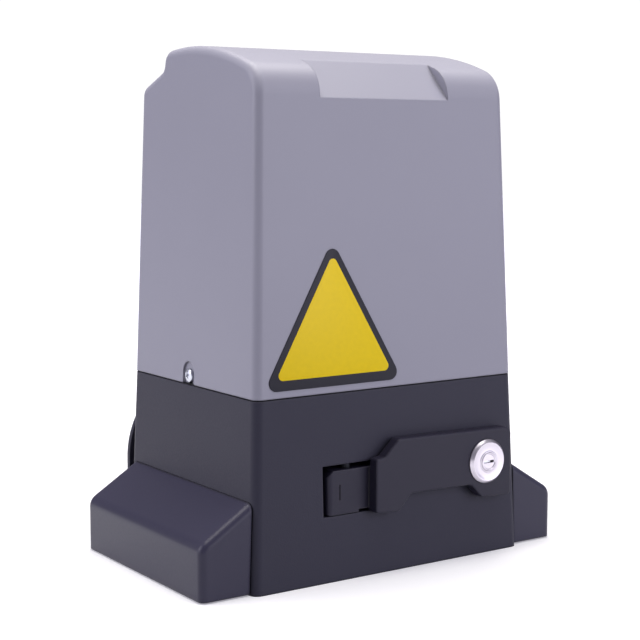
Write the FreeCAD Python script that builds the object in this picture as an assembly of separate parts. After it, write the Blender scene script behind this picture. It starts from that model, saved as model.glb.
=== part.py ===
import FreeCAD, Part
import math
import os

# Sliding gate motor. Millimetres, +Z up. The origin is the centre of the body's footprint on the floor,
# the front is towards -Y, and the output pinion stands out of the back, towards +Y.

V = FreeCAD.Vector

# ---------------------------------------------------------------- driving dimensions
# body and hood
base_half_width = 108.65
base_half_depth = 85.0
seam_height = 122.0
base_draft = 2.02
base_wall = 4.0
floor_thickness = 5.0
corner_radius = 6.0
seam_gap = 0.8
gasket_inset = 1.2
gasket_width = 1.8
rim_height = 5.4
rim_root = 8.0
rim_thickness = 2.5
cover_wall = 3.0
hood_rise = 221.0
crest_height = seam_height + hood_rise
crest_radius = 220.0
crest_y = 15.0
cover_front_draft = 1.92
cover_side_draft = 1.81
cover_rear_draft = 1.48
front_roll_radius = 22.0
rear_roll_radius = 9.0
riser_inset = 39.0
riser_drop = 10.0
riser_y = base_half_depth - riser_inset
riser_level = crest_height - riser_drop
riser_lean = 10.0
step_radius = 5.0
ledge_inset = 28.2
ledge_drop = 18.0
ledge_y = base_half_depth - ledge_inset
ledge_level = crest_height - ledge_drop
ledge_slope = 22.0
ledge_roll_radius = 8.0
cover_edge_radius = 5.5
recess_low_inset = 10.5
recess_low_drop = 35.0
recess_high_inset = 35.0
recess_high_drop = 8.0
recess_low = (recess_low_inset - base_half_depth, crest_height - recess_low_drop)
recess_high = (recess_high_inset - base_half_depth, crest_height - recess_high_drop)
recess_left = -52.0
recess_right = 50.0
crease_inset = 8.0
crease_depth = 0.8

# screws that hold the hood, one on each side
cover_screw_y = 3.2
cover_screw_rise = 5.8
cover_screw_height = seam_height + cover_screw_rise
cover_screw_head_radius = 4.5
cover_screw_head_height = 2.6
cover_screw_radius = 2.5
cover_screw_length = 8.0
screw_recess_radius = 7.3
screw_recess_depth = 1.6
screw_recess_rise = 2.0
screw_slot_clearance = 0.3
screw_lug_width = 18.0
screw_lug_thickness = 7.0
screw_lug_rise = 9.0

# fits
running_gap = 0.03
seat_gap = 0.3
bolt_gap = 0.15

# mounting ears and their covers
ear_width = 29.35
ear_reach = base_half_width + ear_width
ear_half_length = 59.0
ear_thickness = 8.0
ear_radius = 8.0
slot_offset = 0.675
slot_x = base_half_width + ear_width / 2 + slot_offset
slot_y = 50.0
slot_radius = 5.0
slot_length = 20.0
foot_overhang = 5.5
foot_reach = ear_reach + foot_overhang
foot_front_inset = 4.8
foot_rear_inset = 7.7
foot_front = foot_front_inset - base_half_depth
foot_rear = base_half_depth - foot_rear_inset
foot_top = 58.3
foot_shoulder = 35.6
foot_lift = 1.0
foot_wall = 2.5
foot_edge_radius = 4.5
foot_body_gap = 0.4

# output axis, worm gearing and its case
axis_x = -34.0
axis_z = 55.0
worm_y = 8.0
worm_module = 2.5
wheel_teeth = 32
worm_pitch_radius = 14.0
worm_length = 40.0
worm_bore_flats = 13.0
worm_segments = 16
tooth_backlash = 0.5
pressure_angle = 20.0
wheel_face = 14.0
rim_bore_radius = 30.0
rim_bore_sides = 16
hub_front = 12.0
hub_rear = 9.0
shaft_radius = 12.5
shaft_front_radius = 10.0
dog_height = 6.0
dog_inner_radius = 15.0
dog_outer_radius = 24.0
dog_angle = 40.0
dog_count = 4
dog_face_gap = 0.4
sleeve_length = 18.6
sleeve_radius = 24.0
sleeve_flats = 21.0
sleeve_gap = 0.1
case_wall = 4.5
case_clearance = 3.0
pad_seam_gap = 4.0
tail_bearing_lift = 7.0
motor_bearing_lift = 3.0
case_gap = 2.0
case_front_wall = 5.0
case_rear_inset = 9.0
case_rear = base_half_depth - case_rear_inset
case_flange_radius = 57.0
case_flange_thickness = 6.0
case_foot_height = 14.0
case_foot_half_width = 36.0
worm_tube_gap = 2.0
worm_tube_wall = 4.5
case_inner_radius = worm_module * (wheel_teeth / 2 + 1) + case_gap
case_outer_radius = case_inner_radius + case_wall
motor_seat_height = axis_z + case_outer_radius
motor_seat_radius = 40.0
motor_seat_thickness = 8.0
shelf_post_x = -55.0
shelf_post_y = 30.0
shelf_post_radius = 6.0
shelf_post_root = 0.7

# bearings and seal: bore radius, outer radius, width
front_bearing_size = (10.0, 23.5, 14.0)
rear_bearing_size = (12.5, 26.0, 15.0)
tail_bearing_size = (6.0, 16.0, 10.0)
motor_bearing_size = (7.5, 17.5, 11.0)
seal_size = (12.5, 20.0, 7.0)
bearing_groove = 1.0
bearing_ring = 3.0
boss_wall = 5.0

# arch-shaped end cover behind the body
pad_radius = 62.0
pad_overhang = 1.0
pad_rear = base_half_depth + pad_overhang
end_gap_radius = 58.0
end_gap_depth = 1.2
end_neck_radius = 61.5
end_rim_radius = 65.5
end_rim_thickness = 3.8
end_cover_depth = 17.0
end_cover_rear = pad_rear + end_cover_depth
end_plate = 6.0
arch_lift = 1.5
spigot_depth = 12.0
spigot_wall = 4.0
end_screw_circle = 53.0
end_screw_count = 5
end_screw_radius = 3.0
end_screw_head_radius = 5.0
end_screw_head_height = 5.0
end_screw_recess = 4.0
end_screw_length = 26.0

# pinion
pinion_module = 4.0
pinion_teeth = 16
pinion_width = 28.0
pinion_gap = 5.0
pinion_start = end_cover_rear + pinion_gap
pinion_hub_radius = 22.0
pinion_hub_length = 4.0
key_width = 8.0
key_height = 7.0
key_length = 22.0
washer_radius = 17.0
washer_thickness = 2.5
pinion_bolt_radius = 4.0
pinion_bolt_head = 13.0
pinion_bolt_head_height = 5.3
pinion_bolt_length = 24.0

# pocket, release lever and lock
pivot_inset = 9.0
pivot_y = pivot_inset - base_half_depth
pocket_left = -55.6
pocket_right = -6.0
pocket_low = 42.7
pocket_high = 75.7
pocket_depth = 20.0
pocket_wall = 3.0
pivot_pin_radius = 4.0
pivot_pin_chamfer = 0.8
heel_low = 43.2
heel_high = 72.0
heel_front = 7.6
heel_left = 18.0
heel_right = 24.0
heel_back = 9.6
heel_nose_radius = 3.5
cam_bulge = 9.4
cam_slack = 0.1
heel_bevel = 4.0
heel_slit = (-42.9, 52.5, 62.8)
heel_slit_width = 0.7
heel_notch_start = -28.0
heel_notch_height = 1.8
lever_overhang = 7.0
lever_front = -base_half_depth - lever_overhang
lever_thickness = 7.4
lever_edge_radius = 1.2
lever_outline = (
    (-19.8, 77.6, 1.5), (-13.1, 78.3, 3.0), (-1.6, 89.4, 4.0), (94.6, 87.5, 5.0),
    (95.0, 40.0, 3.0), (69.2, 41.2, 4.0), (59.7, 51.0, 5.0), (8.7, 51.8, 5.0),
    (-0.8, 41.1, 4.0), (-19.8, 42.3, 1.5),
)
lock_x = 72.5
lock_z = 66.0
escutcheon_radius = 15.0
escutcheon_height = 3.0
escutcheon_bevel = 1.2
barrel_radius = 9.0
barrel_inset = 7.8
barrel_rear = barrel_inset - base_half_depth
plug_radius = 6.2
plug_overhang = 3.2
plug_front = lever_front - plug_overhang
key_slot_width = 1.4
key_slot_length = 8.6
key_slot_depth = 3.0
lock_nut_flats = 23.0
lock_nut_thickness = 3.0
cam_reach = 19.0
cam_width = 8.0
cam_thickness = 2.0
lock_hole_radius = 14.6
lock_cup_radius = 21.5
lock_cup_wall = 3.0
lock_cup_depth = 18.0
cam_slot_width = 10.0

# push rod that the lever's cam drives
rod_radius = 3.0
rod_gap = 0.25
rod_rest_gap = 0.15
spring_end_gap = 0.25
shaft_nose_gap = 1.0
clutch_travel = heel_left - heel_back - cam_slack
cross_pin_radius = 2.0

# clutch spring and its collar
spring_radius = 19.0
spring_wire = 1.4
spring_turns = 5
spring_length = 21.0
spring_segments = 12
collar_radius = 22.0
collar_thickness = 4.0

# motor
motor_x = axis_x + worm_module * wheel_teeth / 2 + worm_pitch_radius
motor_half_side = 49.0
motor_corner = 14.0
bell_wall = 3.5
bell_floor = 6.0
lower_bell_height = 28.0
stack_height = 74.0
upper_bell_height = 30.0
hub_radius = 21.0
stator_bore_radius = 28.6
air_gap = 0.5
rotor_ring_radius = 24.0
rotor_ring_height = 6.0
winding_inner = 31.0
winding_outer = 44.0
winding_height = 12.0
motor_bolt_offset = 40.0
motor_bolt_radius = 2.5
motor_bolt_head_radius = 4.5
motor_bolt_head_height = 4.0
motor_shaft_radius = 7.5

# capacitor and its cup
capacitor_side_inset = 31.65
capacitor_front_inset = 32.0
capacitor_x = base_half_width - capacitor_side_inset
capacitor_y = capacitor_front_inset - base_half_depth
capacitor_radius = 16.0
capacitor_height = 76.0
capacitor_cup_wall = 2.0
capacitor_cup_height = 18.0
capacitor_cup_floor = 6.0
capacitor_post_radius = 8.0
terminal_height = 7.0

# control bracket and board
shelf_drop = 4.0
shelf_level = seam_height - shelf_drop
sheet = 2.0
shelf_side_inset = 12.65
shelf_left = shelf_side_inset - base_half_width
panel_x = -46.0
shelf_front_inset = 33.0
shelf_rear_inset = 12.0
shelf_front = shelf_front_inset - base_half_depth
shelf_rear = base_half_depth - shelf_rear_inset
panel_rear = 40.0
panel_height = 167.0
panel_top = shelf_level + panel_height
bracket_post_inset = 6.0
bracket_post_x = shelf_left + bracket_post_inset
bracket_post_y = 45.0
bracket_post_radius = 5.0
standoff_height = 7.0
standoff_radius = 3.0
board_screw_radius = 2.7
board_thickness = 1.6
board_margin = 4.0
board_rise = 12.0
board_height = 150.0
board_low = shelf_level + board_rise
board_high = board_low + board_height
board_screw_height = 1.5
transformer_size = (32.0, 40.0, 40.0)
transformer_rise = 8.0
transformer_low = board_low + transformer_rise
transformer_y = -20.0
relay_size = (16.0, 12.5, 20.0)
relay_rise = 58.0
relay_low = board_low + relay_rise
relay_y = -8.0
relay_pitch = 18.0
relay_count = 3
terminal_size = (10.0, 76.0, 14.0)
terminal_rise = 127.0
terminal_low = board_low + terminal_rise
terminal_y = -6.0
terminal_ways = 12
terminal_mouth_share = 0.32
terminal_mouth_depth = 4.0
terminal_mouth_low = 2.0
terminal_mouth_high = 7.0
fuse_size = (9.0, 24.0, 8.0)
fuse_rise = 92.0
fuse_low = board_low + fuse_rise
fuse_y = 16.0
chip_size = (3.0, 16.0, 16.0)
chip_rise = 108.0
chip_low = board_low + chip_rise
chip_y = -18.0

# limit switch
limit_x = -62.0
limit_pivot_inset = 15.0
limit_rise = 18.0
limit_pivot_y = base_half_depth - limit_pivot_inset
limit_level = shelf_level + limit_rise
limit_half_width = 12.0
limit_depth = 20.0
limit_front = limit_pivot_y - limit_depth
limit_half_height = 9.0
limit_step = 1.0
limit_low = limit_level - limit_half_height + limit_step
limit_high = limit_level + limit_half_height
limit_roof = 2.5
limit_knuckle_radius = 4.5
limit_nose_reach = 4.0
limit_nose = limit_pivot_y + limit_nose_reach
limit_notch_half_width = 14.0
limit_notch_top = limit_high + 1.0
limit_coil_radius = 3.6
limit_coil_wire = 1.1
limit_coil_turns = 10
limit_coil_gap = 5.0
limit_coil_length = 33.0
limit_coil_start = limit_pivot_y + limit_coil_gap
limit_coil_end = limit_coil_start + limit_coil_length
limit_tip_radius = 5.0
limit_tip_length = 12.0
limit_tip_end = limit_coil_end + limit_tip_length

# grommet in the floor for the supply cables
grommet_side_inset = 36.65
grommet_x = base_half_width - grommet_side_inset
grommet_y = 38.0
grommet_bore = 9.0
grommet_neck = 11.0
grommet_flange = 14.0
grommet_lip = 1.6


# ---------------------------------------------------------------- helpers
def block(x0, x1, y0, y1, z0, z1):
    return Part.makeBox(x1 - x0, y1 - y0, z1 - z0, V(x0, y0, z0))


def along(axis, a, b, level):
    """A point given by its two cross coordinates and its place along the axis."""
    if axis == "x":
        return V(level, a, b)
    if axis == "y":
        return V(a, level, b)
    return V(a, b, level)


def round_bar(axis, a, b, radius, start, end):
    """A cylinder along an axis, centred on the cross coordinates a, b."""
    direction = along(axis, 0, 0, 1)
    return Part.makeCylinder(radius, end - start, along(axis, a, b, start), direction)


def tube(axis, a, b, inner, outer, start, end):
    return round_bar(axis, a, b, outer, start, end).cut(round_bar(axis, a, b, inner, start, end))


def joined(first, *others):
    return first.fuse(list(others)).removeSplitter()


def outline_wire(axis, level, corners):
    """A closed wire with rounded corners. Each corner is (a, b) or (a, b, radius)."""
    count = len(corners)
    runs = []
    for i in range(count):
        here = corners[i]
        before = corners[i - 1]
        after = corners[(i + 1) % count]
        radius = here[2] if len(here) > 2 else 0.0
        to_before = (before[0] - here[0], before[1] - here[1])
        to_after = (after[0] - here[0], after[1] - here[1])
        length_before = math.hypot(*to_before)
        length_after = math.hypot(*to_after)
        u = (to_before[0] / length_before, to_before[1] / length_before)
        w = (to_after[0] / length_after, to_after[1] / length_after)
        half = math.acos(max(-1.0, min(1.0, u[0] * w[0] + u[1] * w[1]))) / 2
        if radius <= 0.0 or half > math.radians(89.5):
            runs.append([(here[0], here[1])])
            continue
        reach = radius / math.tan(half)
        bisector = (u[0] + w[0], u[1] + w[1])
        size = math.hypot(*bisector)
        depth = radius / math.sin(half) - radius
        runs.append([
            (here[0] + u[0] * reach, here[1] + u[1] * reach),
            (here[0] + bisector[0] / size * depth, here[1] + bisector[1] / size * depth),
            (here[0] + w[0] * reach, here[1] + w[1] * reach),
        ])
    edges = []
    for i in range(count):
        run = runs[i]
        if len(run) == 3:
            points = [along(axis, p[0], p[1], level) for p in run]
            edges.append(Part.Arc(*points).toShape())
        start = along(axis, run[-1][0], run[-1][1], level)
        following = runs[(i + 1) % count][0]
        end = along(axis, following[0], following[1], level)
        if start.distanceToPoint(end) > 1e-6:
            edges.append(Part.makeLine(start, end))
    return Part.Wire(edges)


def prism(axis, corners, start, end):
    """The outline pushed along the axis from start to end."""
    face = Part.Face(outline_wire(axis, start, corners))
    return face.extrude(along(axis, 0, 0, end - start))


def polygon(sides, flats, a=0.0, b=0.0, turn=0.0):
    """Corners of a regular polygon given by its width across flats."""
    radius = flats / 2 / math.cos(math.pi / sides)
    step = 2 * math.pi / sides
    first = math.radians(turn) + step / 2
    return [(a + radius * math.cos(first + i * step), b + radius * math.sin(first + i * step))
            for i in range(sides)]


def rounded_square(half, radius, a, b):
    return [(a - half, b - half, radius), (a + half, b - half, radius),
            (a + half, b + half, radius), (a - half, b + half, radius)]


def facet_solid(rings, closed):
    """A solid skinned with flat triangles between rings of points, which have the same count.

    A ring joins the next one. With closed the first and last rings get flat caps.
    """
    faces = []
    for lower, upper in zip(rings, rings[1:]):
        count = len(lower)
        for i in range(count):
            j = (i + 1) % count
            for corners in ((lower[i], lower[j], upper[j]), (lower[i], upper[j], upper[i])):
                faces.append(Part.Face(Part.makePolygon([*corners, corners[0]])))
    if closed:
        for ring in (rings[0], rings[-1]):
            faces.append(Part.Face(Part.makePolygon([*ring, ring[0]])))
    solid = Part.Solid(Part.makeShell(faces))
    if solid.Volume < 0:
        solid.reverse()
    return solid


def spur_outline(module, teeth, backlash, flank_steps):
    """Polar points (angle, radius) of a gear with involute flanks, a tooth centred on angle 0."""
    pitch_radius = module * teeth / 2
    base_radius = pitch_radius * math.cos(math.radians(pressure_angle))
    tip_radius = pitch_radius + module
    root_radius = pitch_radius - 1.25 * module
    start_radius = max(base_radius, root_radius)

    def roll(radius):
        angle = math.acos(min(1.0, base_radius / radius))
        return math.tan(angle) - angle

    half_tooth = math.pi / (2 * teeth) - backlash / (4 * pitch_radius)
    flank = []
    for i in range(flank_steps + 1):
        radius = start_radius + (tip_radius - start_radius) * i / flank_steps
        flank.append((half_tooth + roll(pitch_radius) - roll(radius), radius))
    if root_radius < start_radius:
        flank.insert(0, (flank[0][0], root_radius))
    points = []
    for tooth in range(teeth):
        middle = 2 * math.pi * tooth / teeth
        points += [(middle - angle, radius) for angle, radius in flank]
        points += [(middle + angle, radius) for angle, radius in reversed(flank)]
    return points


def ring_bearing(axis, a, b, size, start):
    """A shielded ball bearing as one ring with a groove in each face."""
    bore, outer, width = size
    body = tube(axis, a, b, bore + running_gap, outer, start, start + width)
    for level in (start, start + width - bearing_groove):
        groove = tube(axis, a, b, bore + bearing_ring, outer - bearing_ring, level, level + bearing_groove)
        body = body.cut(groove)
    return body


def arch(radius, start, end):
    """The outline of the end cover: a round top on straight sides that run down to near the floor."""
    drum = round_bar("y", axis_x, axis_z, radius, start, end)
    legs = block(axis_x - radius, axis_x + radius, start, end, arch_lift, axis_z)
    trim = block(axis_x - radius, axis_x + radius, start, end, arch_lift, axis_z + radius)
    return drum.fuse(legs).common(trim).removeSplitter()


def coil(a, b, radius, wire, turns, start, length, segments, sides=6):
    """A helical spring of faceted wire with its axis along Y."""
    rings = []
    steps = turns * segments
    rise = (length - 2 * wire) / steps
    for i in range(steps + 1):
        angle = 2 * math.pi * i / segments
        level = start + wire + rise * i
        ring = []
        for k in range(sides):
            around = 2 * math.pi * k / sides
            distance = radius + wire * math.cos(around)
            ring.append(along("y", a + distance * math.cos(angle), b + distance * math.sin(angle),
                              level + wire * math.sin(around)))
        rings.append(ring)
    return facet_solid(rings, True)


# ---------------------------------------------------------------- body
base_top = seam_height - seam_gap / 2
cover_bottom = seam_height + seam_gap / 2
base_slope = math.tan(math.radians(base_draft))
seam_half_width = base_half_width - seam_height * base_slope
seam_half_depth = base_half_depth - seam_height * base_slope


def tapered_block(inset, bottom, top, radius):
    """The body's drafted block between two heights, drawn in on all sides by the inset."""
    def side(half, z):
        return half - z * base_slope - inset

    wide = prism("y", [(-side(base_half_width, bottom), bottom), (side(base_half_width, bottom), bottom),
                       (side(base_half_width, top), top), (-side(base_half_width, top), top)],
                 -base_half_depth, base_half_depth)
    deep = prism("x", [(-side(base_half_depth, bottom), bottom), (side(base_half_depth, bottom), bottom),
                       (side(base_half_depth, top), top), (-side(base_half_depth, top), top)],
                 -base_half_width, base_half_width)
    solid = wide.common(deep)
    if radius <= 0:
        return solid
    upright = [e for e in solid.Edges if e.BoundBox.ZLength > (top - bottom) * 0.9]
    return solid.makeFillet(radius, upright)


def seam_ring(inset, width, low, high):
    """An upright ring that follows the body's outline at the seam, set in from its face."""
    outer = [(-seam_half_width + inset, -seam_half_depth + inset),
             (seam_half_width - inset, seam_half_depth - inset)]
    (x0, y0), (x1, y1) = outer
    round_outer = max(corner_radius - inset, 1.0)
    round_inner = max(round_outer - width, 0.5)
    body = prism("z",
                 [(x0, y0, round_outer), (x1, y0, round_outer), (x1, y1, round_outer), (x0, y1, round_outer)],
                 low, high)
    hole = prism("z", [(x0 + width, y0 + width, round_inner), (x1 - width, y0 + width, round_inner),
                       (x1 - width, y1 - width, round_inner), (x0 + width, y1 - width, round_inner)], low,
                 high)
    return body.cut(hole)


pocket_rear = pivot_y + pocket_depth
rim_inset = cover_wall + seat_gap + 0.1
lug_draft = (cover_screw_height - seam_height) * math.tan(math.radians(cover_side_draft))
lug_face = seam_half_width - lug_draft - cover_wall


def screw_lug(side):
    """The lug behind the hood's wall that one hood screw threads into."""
    outer = lug_face - seat_gap
    x0, x1 = sorted((side * outer, side * (outer - screw_lug_thickness)))
    lug = block(x0, x1, cover_screw_y - screw_lug_width / 2, cover_screw_y + screw_lug_width / 2,
                base_top - rim_root - screw_lug_rise, cover_screw_height + screw_lug_rise)
    return lug


def lug_hole(side):
    x0, x1 = sorted((side * (lug_face + 1), side * (lug_face - 1 - screw_lug_thickness - seat_gap)))
    return round_bar("x", cover_screw_y, cover_screw_height, cover_screw_radius, x0, x1)


def ear(side):
    x0, x1 = sorted((side * (base_half_width - base_wall), side * ear_reach))
    inner = 0.0
    outer = ear_radius
    left, right = (outer, inner) if side < 0 else (inner, outer)
    plate = prism("z", [(x0, -ear_half_length, left), (x1, -ear_half_length, right),
                        (x1, ear_half_length, right), (x0, ear_half_length, left)], 0, ear_thickness)
    for y in (-slot_y, slot_y):
        middle = side * slot_x
        straight = slot_length / 2 - slot_radius
        slot = joined(block(middle - straight, middle + straight, y - slot_radius, y + slot_radius, 0,
                            ear_thickness),
                      round_bar("z", middle - straight, y, slot_radius, 0, ear_thickness),
                      round_bar("z", middle + straight, y, slot_radius, 0, ear_thickness))
        plate = plate.cut(slot)
    return plate


def make_base_housing():
    body = tapered_block(0, 0, base_top, corner_radius)
    inside = tapered_block(base_wall, floor_thickness, base_top, corner_radius - base_wall)
    body = body.cut(inside)
    rim = seam_ring(rim_inset, rim_thickness, base_top - rim_root, base_top + rim_height)
    below_seam = block(-base_half_width, base_half_width, case_rear, pad_rear, 0, base_top - pad_seam_gap)
    pad = arch(pad_radius, case_rear, pad_rear).common(below_seam)
    pocket_box = block(pocket_left - pocket_wall, pocket_right + pocket_wall, -base_half_depth,
                       pocket_rear + pocket_wall, pocket_low - pocket_wall, pocket_high + pocket_wall)
    cup = round_bar("y", lock_x, lock_z, lock_cup_radius + lock_cup_wall, -base_half_depth,
                    -base_half_depth + lock_cup_depth + lock_cup_wall + base_wall)
    inner_parts = pocket_box.fuse(cup).common(tapered_block(base_wall / 2, 0, base_top, 0))
    posts = [round_bar("z", bracket_post_x, y, bracket_post_radius, floor_thickness / 2, shelf_level)
             for y in (-bracket_post_y, bracket_post_y)]
    posts.append(round_bar("z", capacitor_x, capacitor_y, capacitor_post_radius, floor_thickness / 2,
                           shelf_level))
    ears = [ear(side) for side in (-1, 1)]
    lugs = [screw_lug(side) for side in (-1, 1)]
    body = joined(body, rim, pad, inner_parts, *posts, *ears, *lugs)
    pocket = block(pocket_left, pocket_right, -base_half_depth, pocket_rear, pocket_low, pocket_high)
    lock_hole = round_bar("y", lock_x, lock_z, lock_hole_radius, -base_half_depth,
                          -base_half_depth + lock_cup_depth)
    cup_start = -base_half_depth + lock_z * base_slope + base_wall
    cup_room = round_bar("y", lock_x, lock_z, lock_cup_radius, cup_start,
                         -base_half_depth + lock_cup_depth + base_wall)
    cam_slot = block(lock_x - cam_slot_width / 2, lock_x + cam_slot_width / 2, -base_half_depth,
                     cup_start + 1,
                     lock_z - cam_reach - 2, lock_z)
    pin_hole = round_bar("z", axis_x, pivot_y, pivot_pin_radius + bolt_gap, pocket_low - pocket_wall - 1,
                         pocket_high + pocket_wall + 1)
    rod_hole = round_bar("y", axis_x, axis_z, rod_radius + rod_gap, pocket_rear - 1,
                         pocket_rear + pocket_wall + 1)
    case_hole = round_bar("y", axis_x, axis_z, case_inner_radius, case_rear - 1, pad_rear + 1)
    screw_holes = [round_bar("y", x, z, end_screw_radius, case_rear - 1, pad_rear + 1)
                   for x, z in end_screw_places()]
    cable_hole = round_bar("z", grommet_x, grommet_y, grommet_neck, -1, floor_thickness + 1)
    cuts = [pocket, lock_hole, cup_room, cam_slot, pin_hole, rod_hole, case_hole, cable_hole]
    cuts += screw_holes
    cuts += [lug_hole(side) for side in (-1, 1)]
    return body.cut(cuts)


# ---------------------------------------------------------------- hood
def unit(angle):
    """A unit vector in the Y-Z plane at an angle in degrees from +Y."""
    return (math.cos(math.radians(angle)), math.sin(math.radians(angle)))


def crossing(p, d, q, e):
    """Where the line through p along d meets the line through q along e."""
    det = d[0] * -e[1] + e[0] * d[1]
    rx, ry = q[0] - p[0], q[1] - p[1]
    t = (rx * -e[1] + e[0] * ry) / det
    return (p[0] + d[0] * t, p[1] + d[1] * t)


def roll_into_crest(point, direction, inward, crest, radius):
    """The circle of the given radius that touches a wall line and the inside of the crest circle.

    Returns its touching point on the wall, a point halfway, and its touching point on the crest.
    """
    centre, big = crest
    start = (point[0] + inward[0] * radius - centre[0], point[1] + inward[1] * radius - centre[1])
    along_line = start[0] * direction[0] + start[1] * direction[1]
    beyond = start[0] ** 2 + start[1] ** 2 - (big - radius) ** 2
    t = -along_line + math.sqrt(along_line ** 2 - beyond)
    middle = (centre[0] + start[0] + direction[0] * t, centre[1] + start[1] + direction[1] * t)
    on_wall = (middle[0] - inward[0] * radius, middle[1] - inward[1] * radius)
    out = (middle[0] - centre[0], middle[1] - centre[1])
    size = math.hypot(*out)
    on_crest = (centre[0] + out[0] / size * big, centre[1] + out[1] / size * big)
    half = (out[0] / size - inward[0], out[1] / size - inward[1])
    length = math.hypot(*half)
    between = (middle[0] + half[0] / length * radius, middle[1] + half[1] / length * radius)
    return on_wall, between, on_crest


def corner_arc(before, corner, after, radius):
    """Touching points and middle of an arc that rounds a corner."""
    u = (before[0] - corner[0], before[1] - corner[1])
    w = (after[0] - corner[0], after[1] - corner[1])
    lu, lw = math.hypot(*u), math.hypot(*w)
    u = (u[0] / lu, u[1] / lu)
    w = (w[0] / lw, w[1] / lw)
    half = math.acos(u[0] * w[0] + u[1] * w[1]) / 2
    reach = radius / math.tan(half)
    bis = (u[0] + w[0], u[1] + w[1])
    size = math.hypot(*bis)
    depth = radius / math.sin(half) - radius
    return ((corner[0] + u[0] * reach, corner[1] + u[1] * reach),
            (corner[0] + bis[0] / size * depth, corner[1] + bis[1] / size * depth),
            (corner[0] + w[0] * reach, corner[1] + w[1] * reach))


def hood_profile(inset, bottom):
    """The hood's side outline as a face at x = 0, drawn in by the wall for the inside."""
    front_up = unit(90 - cover_front_draft)
    front_in = unit(-cover_front_draft)
    front = (-seam_half_depth + front_in[0] * inset, seam_height + front_in[1] * inset)
    crest = ((crest_y, crest_height - crest_radius), crest_radius - inset)
    front_roll = roll_into_crest(front, front_up, front_in, crest, front_roll_radius - inset)
    riser_down = unit(-90 + riser_lean)
    riser_up = (-riser_down[0], -riser_down[1])
    riser_in = unit(180 + riser_lean)
    riser = (riser_y + riser_in[0] * inset, riser_level + riser_in[1] * inset)
    rear_roll = roll_into_crest(riser, riser_up, riser_in, crest, rear_roll_radius - inset)
    ledge_along = unit(-ledge_slope)
    ledge_in = unit(-90 - ledge_slope)
    ledge = (ledge_y + ledge_in[0] * inset, ledge_level + ledge_in[1] * inset)
    rear_down = unit(-90 + cover_rear_draft)
    rear_in = unit(180 + cover_rear_draft)
    rear = (seam_half_depth + rear_in[0] * inset, seam_height + rear_in[1] * inset)
    step_corner = crossing(riser, riser_down, ledge, ledge_along)
    ledge_corner = crossing(ledge, ledge_along, rear, rear_down)
    low_front = crossing(front, front_up, (0, bottom), (1, 0))
    low_rear = crossing(rear, rear_down, (0, bottom), (1, 0))
    step = corner_arc(riser, step_corner, ledge_corner, step_radius + inset)
    ledge_roll = corner_arc(step_corner, ledge_corner, low_rear, ledge_roll_radius - inset)
    (centre_y, centre_z), big = crest
    crown_middle = (centre_y, centre_z + big)

    def at(p):
        return V(0, p[0], p[1])

    edges = [
        Part.makeLine(at(low_front), at(front_roll[0])),
        Part.Arc(at(front_roll[0]), at(front_roll[1]), at(front_roll[2])).toShape(),
        Part.Arc(at(front_roll[2]), at(crown_middle), at(rear_roll[2])).toShape(),
        Part.Arc(at(rear_roll[2]), at(rear_roll[1]), at(rear_roll[0])).toShape(),
        Part.makeLine(at(rear_roll[0]), at(step[0])),
        Part.Arc(at(step[0]), at(step[1]), at(step[2])).toShape(),
        Part.makeLine(at(step[2]), at(ledge_roll[0])),
        Part.Arc(at(ledge_roll[0]), at(ledge_roll[1]), at(ledge_roll[2])).toShape(),
        Part.makeLine(at(ledge_roll[2]), at(low_rear)),
        Part.makeLine(at(low_rear), at(low_front)),
    ]
    return Part.Face(Part.Wire(edges))


def hood_block(inset, bottom):
    """The hood's outer or inner form: its side outline between two drafted sides, with rolled edges."""
    side_slope = math.tan(math.radians(cover_side_draft))
    reach = seam_half_width + base_wall

    def half(z):
        return seam_half_width - inset - (z - seam_height) * side_slope

    slab = hood_profile(inset, bottom)
    slab.translate(V(-reach, 0, 0))
    slab = slab.extrude(V(2 * reach, 0, 0))
    top = crest_height + 1
    sides = prism("y", [(-half(bottom), bottom), (half(bottom), bottom), (half(top), top), (-half(top), top)],
                  -base_half_depth, base_half_depth)
    solid = slab.common(sides)
    rolled = [e for e in solid.Edges
              if abs(e.CenterOfMass.x) > seam_half_width * 0.75 and e.CenterOfMass.z > bottom + 1]
    return solid.makeFillet(cover_edge_radius - inset * 0.9, rolled)


def recess_wedge(margin):
    """What the sloping badge recess takes off the front roll, grown by the wall on the inside."""
    (y0, z0), (y1, z1) = recess_low, recess_high
    length = math.hypot(y1 - y0, z1 - z0)
    d = ((y1 - y0) / length, (z1 - z0) / length)
    n = (-d[1], d[0])
    spare = 12.0
    far = 40.0
    a = (y0 - d[0] * spare - n[0] * margin, z0 - d[1] * spare - n[1] * margin)
    b = (y1 + d[0] * spare - n[0] * margin, z1 + d[1] * spare - n[1] * margin)
    c = (b[0] + n[0] * far, b[1] + n[1] * far)
    e = (a[0] + n[0] * far, a[1] + n[1] * far)
    return prism("x", [a, b, c, e], recess_left - margin, recess_right + margin)


def recess_crease():
    """The fine groove along the top of the badge recess, where the badge's upper edge is tucked in."""
    y, z = recess_high
    slope = (z - recess_low[1]) / (y - recess_low[0])
    foot = crease_depth / math.hypot(1, slope)
    corners = [(y - foot, z - foot * slope), (y + foot, z + foot * slope), (y + foot, z - 2 * crease_depth)]
    return prism("x", corners, recess_left, recess_right - crease_inset)


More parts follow.
